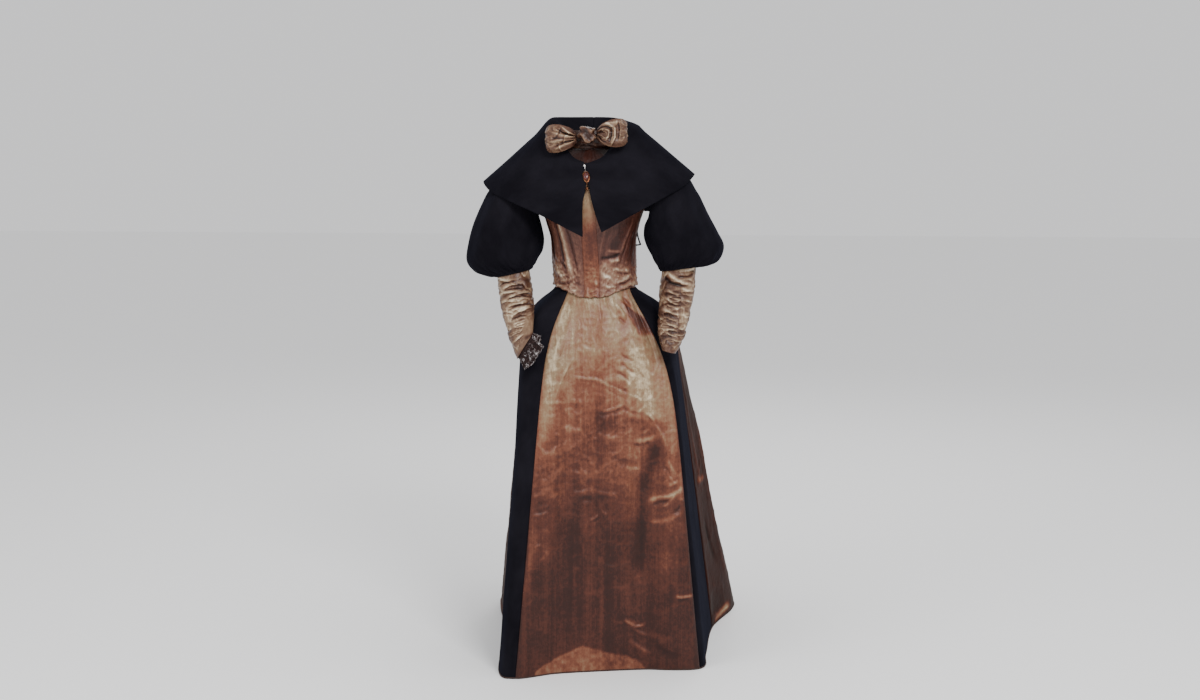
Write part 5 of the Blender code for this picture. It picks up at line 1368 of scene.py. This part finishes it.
shape = bmesh.new()
bmesh.ops.create_uvsphere(shape, u_segments=96, v_segments=64, radius=1.0)
tones, knot_fold_shading = [], []
for corner in shape.verts:
    x, y, z = corner.co
    tuck = 1.15 * z + 0.42 * math.sin(2.1 * x + 0.7) + 0.22 * math.sin(5.0 * x - 2.0 * z)
    deep = 1 - 2 * abs(math.sin(KNOT_FOLDS / 2 * tuck + 0.5))
    deep += 0.45 * math.cos(8.0 * x + 6.0 * z) * math.sin(5.0 * z + 2.0 * x)
    ease = 1 - 0.5 * abs(z) ** 4
    grown = 1 + 0.07 * math.sin(3.1 * x + 1.3) * math.cos(2.9 * z + 0.6)
    grown += (KNOT_FOLD_DEPTH * deep * ease - KNOT_PULL) / KNOT_RADII[0]
    block = np.sign((x, y, z)) * np.abs((x, y, z)) ** KNOT_SQUARENESS
    corner.co = settle((BOW_CENTRE + block * KNOT_RADII * grown * KNOT_TIGHTNESS)[None])[0]
    # painted highlights on the knot's ridges and painted shade in its tucks, in its tone and its fold shading
    tones.append(0.38 + 0.1 * deep * ease + 0.06 * math.sin(4.0 * x - 3.0 * z))
    knot_fold_shading.append(deep * 1.4)
mesh = formed("bow_knot_twist", shape)
for key, values in (("tone", tones), ("fold_shading", knot_fold_shading)):
    mesh.attributes.new(key, "FLOAT", "POINT").data.foreach_set("value", values)
corners = mesh.uv_layers.new(name="cloth").data
for corner in mesh.loops:
    x, _, z = mesh.vertices[corner.vertex_index].co
    corners[corner.index].uv = (x, z)
knot = piece("bow_knot_twist", mesh, pale_satin)
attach(knot, "root")
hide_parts("bow_knot")


# Clasp: a small gilt bar with a bead at each end and an oval seat, stamped and soldered, that hooks the
# cape's two edges together. A dark red polished stone is set in a beaded rim.
CLASP_TOP_SHARE = 0.03
CLASP_LOW_SHARE = 0.4
CLASP_PROFILE = [
    # share of the length, half width, half depth
    (0.0, 0.0004, 0.0004),
    (0.03, 0.0026, 0.0026),
    (0.07, 0.0036, 0.0036),
    (0.11, 0.0026, 0.0026),
    (0.15, 0.0011, 0.0011),
    (0.27, 0.0011, 0.0011),
    (0.31, 0.005, 0.0014),
    (0.4, 0.0082, 0.0016),
    (0.5, 0.0092, 0.0016),
    (0.6, 0.0082, 0.0016),
    (0.69, 0.005, 0.0014),
    (0.73, 0.0011, 0.0011),
    (0.85, 0.0011, 0.0011),
    (0.89, 0.0028, 0.0028),
    (0.93, 0.0038, 0.0038),
    (0.97, 0.0028, 0.0028),
    (1.0, 0.0004, 0.0004),
]
CLASP_LIFT = 0.0011
CLASP_PLATE = 0.0016
CLASP_LEAST = 0.0003
CLASP_RINGS, CLASP_SIDES = 90, 24
STONE_BACK = 0.0008
STONE_GAP = 0.0003
STONE_HALF_WIDTH = 0.0068
STONE_HALF_LENGTH = 0.0098
STONE_RISE = 0.004
RIM_BEADS = 26
RIM_HALF_WIDTH = 0.0078
RIM_HALF_LENGTH = 0.0108
RIM_SINK = 0.0002
BEAD_RADIUS = 0.00085


def clasp_frame(share):
    """A place on the cape's front edges, its outward direction and its direction down the front."""
    at = CLASP_TOP_SHARE + (CLASP_LOW_SHARE - CLASP_TOP_SHARE) * share
    stops, *edges = zip(*CAPE_FRONT_EDGES)
    spot, above, below = (cape("left", np.array(0.0), s) for s in (at, at - 0.02, at + 0.02))
    down = (below - above) / np.linalg.norm(below - above)
    out = np.array((0.0, down[2], -down[1]))
    return np.array(((smooth(stops, edges[0], at) + smooth(stops, edges[1], at)) / 2, spot[1], spot[2])), \
        -out if out[1] > 0 else out, down


table = np.array(CLASP_PROFILE)
shares = np.linspace(0, 1, CLASP_RINGS)
sizes = np.maximum(smooth(table[:, 0], table[:, 1:], shares), CLASP_LEAST)
shape = bmesh.new()
rings = []
a = np.linspace(0, math.tau, CLASP_SIDES, endpoint=False)
for share, (half_width, half_depth) in zip(shares, sizes):
    spot, out, _ = clasp_frame(share)
    ring = spot + out * (CLASP_LIFT + half_depth * (1 + np.cos(a)))[:, None]
    ring[:, 0] += half_width * np.sin(a)
    rings.append([shape.verts.new(p) for p in settle(ring)])
for upper, lower in zip(rings, rings[1:]):
    for k in range(CLASP_SIDES):
        shape.faces.new((upper[k], upper[k - 1], lower[k - 1], lower[k]))
shape.faces.new(rings[0])
shape.faces.new(rings[-1])
spot, out, down = clasp_frame(0.5)
seat = spot + out * (CLASP_LIFT + 2 * CLASP_PLATE - RIM_SINK)
for k in range(RIM_BEADS):
    a = math.tau * k / RIM_BEADS
    place = seat + np.array((RIM_HALF_WIDTH * math.sin(a), 0, 0)) + down * RIM_HALF_LENGTH * math.cos(a)
    made = bmesh.ops.create_icosphere(shape, subdivisions=2, radius=BEAD_RADIUS)["verts"]
    bmesh.ops.translate(shape, verts=made, vec=Vector(settle(place[None])[0]))
bmesh.ops.recalc_face_normals(shape, faces=shape.faces)
gilt, tree, shader = new_finish("worn gilt metal")
# the top bead is painted near white: a painted glint on the gilt
height = node(tree, "SeparateXYZ", {"Vector": node(tree, "TexCoord").outputs["Object"]}).outputs["Z"]
painted_glint = node(tree, "MapRange", {"Value": height, "From Min": -0.022, "From Max": -0.01}).outputs[0]
wear = speckle(tree, 260.0, 4.0)
worn = two_tone(tree, wear, 0.38, (0.045, 0.016, 0.01), 0.7, (0.24, 0.105, 0.05))
gilt_with_painted_glint = node(tree, "MixRGB", {"Fac": painted_glint, "Color1": worn, "Color2": (0.82, 0.8, 0.78, 1.0)}).outputs[0]
rough = node(tree, "MapRange", {"Value": wear, "To Min": 0.2, "To Max": 0.45}).outputs[0]
join(tree, shader, {"Base Color": gilt_with_painted_glint, "Roughness": rough, "Metallic": 1.0})
clasp = piece("clasp_gilt", formed("clasp_gilt", shape), gilt)
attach(clasp, "root")
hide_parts("clasp_setting")

base = spot + out * (CLASP_LIFT + 2 * CLASP_PLATE + STONE_GAP + STONE_BACK)
shape = bmesh.new()
bmesh.ops.create_uvsphere(shape, u_segments=48, v_segments=32, radius=1.0)
for corner in shape.verts:
    x, y, z = corner.co
    place = base - down * STONE_HALF_LENGTH * z - out * y * (STONE_RISE if y < 0 else STONE_BACK)
    place[0] += STONE_HALF_WIDTH * x
    corner.co = settle(place[None])[0]
bmesh.ops.recalc_face_normals(shape, faces=shape.faces)
garnet, tree, shader = new_finish("dark red stone")
veined = two_tone(tree, speckle(tree, 190.0, 4.0), 0.35, (0.03, 0.004, 0.004), 0.7, (0.15, 0.028, 0.022))
join(tree, shader, {"Base Color": veined, "Roughness": 0.25, "Coat Weight": 0.1})
stone = piece("clasp_cabochon", formed("clasp_cabochon", shape), garnet)
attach(stone, "root")
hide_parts("clasp_stone")


# Side loop: a narrow dark ribbon folded and stitched into the side seam, by which the bodice is hung up.
# Both its ends are caught in the seam, one above the other.
LOOP_PATH = [
    # out from the bodice, height
    (0.0009, 1.113),
    (0.004, 1.104),
    (0.0085, 1.093),
    (0.013, 1.081),
    (0.012, 1.0785),
    (0.006, 1.0775),
    (0.0009, 1.077),
]
LOOP_HALF_WIDTH = 0.004
LOOP_THICKNESS = 0.0036
LOOP_ROWS, LOOP_COLUMNS = 60, 12
RIBBON_COLOURS = [(0.0, (0.006, 0.006, 0.008)), (0.55, (0.02, 0.018, 0.022)), (1.0, (0.2, 0.19, 0.2))]
path = smooth(range(len(LOOP_PATH)), LOOP_PATH, np.linspace(0, len(LOOP_PATH) - 1, LOOP_ROWS))
spots = bodice(np.full(LOOP_ROWS, 90.0), path[:, 1])
spots[:, 0] += path[:, 0]
points = np.repeat(spots[::-1, None], LOOP_COLUMNS, axis=1)
points[..., 1] += np.linspace(-LOOP_HALF_WIDTH, LOOP_HALF_WIDTH, LOOP_COLUMNS)
ribbon = satin("dark ribbon", RIBBON_COLOURS)
plain = np.zeros((LOOP_ROWS, LOOP_COLUMNS))
side_loop = cloth("hanging_loop", points, plain, LOOP_THICKNESS, ribbon, plain + 0.4, seam=0.0)
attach(side_loop, "root")
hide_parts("side_loop")


# Floor and light: a plain pale floor, one large soft light high in front on the wearer's left, a weaker one
# on the other side, one behind, and an even pale surround.
FLOOR_GAP = 0.0005
LIGHTS_AIM = Vector((0, 0, -0.4))
LIGHTS = [
    # name, place, size, power
    ("key", (1.5, -3.1, 1.9), 1.1, 130.0),
    ("fill", (-2.6, -2.6, 1.0), 2.0, 40.0),
    ("back", (0.4, 3.2, 2.2), 2.0, 50.0),
]
bpy.ops.mesh.primitive_plane_add(size=40.0, location=(0.0, 0.0, -SHOULDER_HEIGHT - FLOOR_GAP))
floor = bpy.context.object
floor.name = "floor"
paper, tree, shader = new_finish("pale floor")
join(tree, shader, {"Base Color": (0.93, 0.93, 0.93, 1.0), "Roughness": 0.9})
floor.data.materials.append(paper)
for name, spot, size, power in LIGHTS:
    lamp = bpy.data.lights.new(name, "AREA")
    lamp.size, lamp.energy = size, power
    holder = bpy.data.objects.new(name, lamp)
    holder.location = spot
    holder.rotation_euler = (LIGHTS_AIM - Vector(spot)).to_track_quat("-Z", "Y").to_euler()
    bpy.context.scene.collection.objects.link(holder)
world = bpy.data.worlds.new("pale surround")
world.use_nodes = True
tree = world.node_tree
join(tree, tree.nodes["Background"], {"Color": (0.96, 0.96, 0.97, 1.0), "Strength": 0.95})
bpy.context.scene.world = world
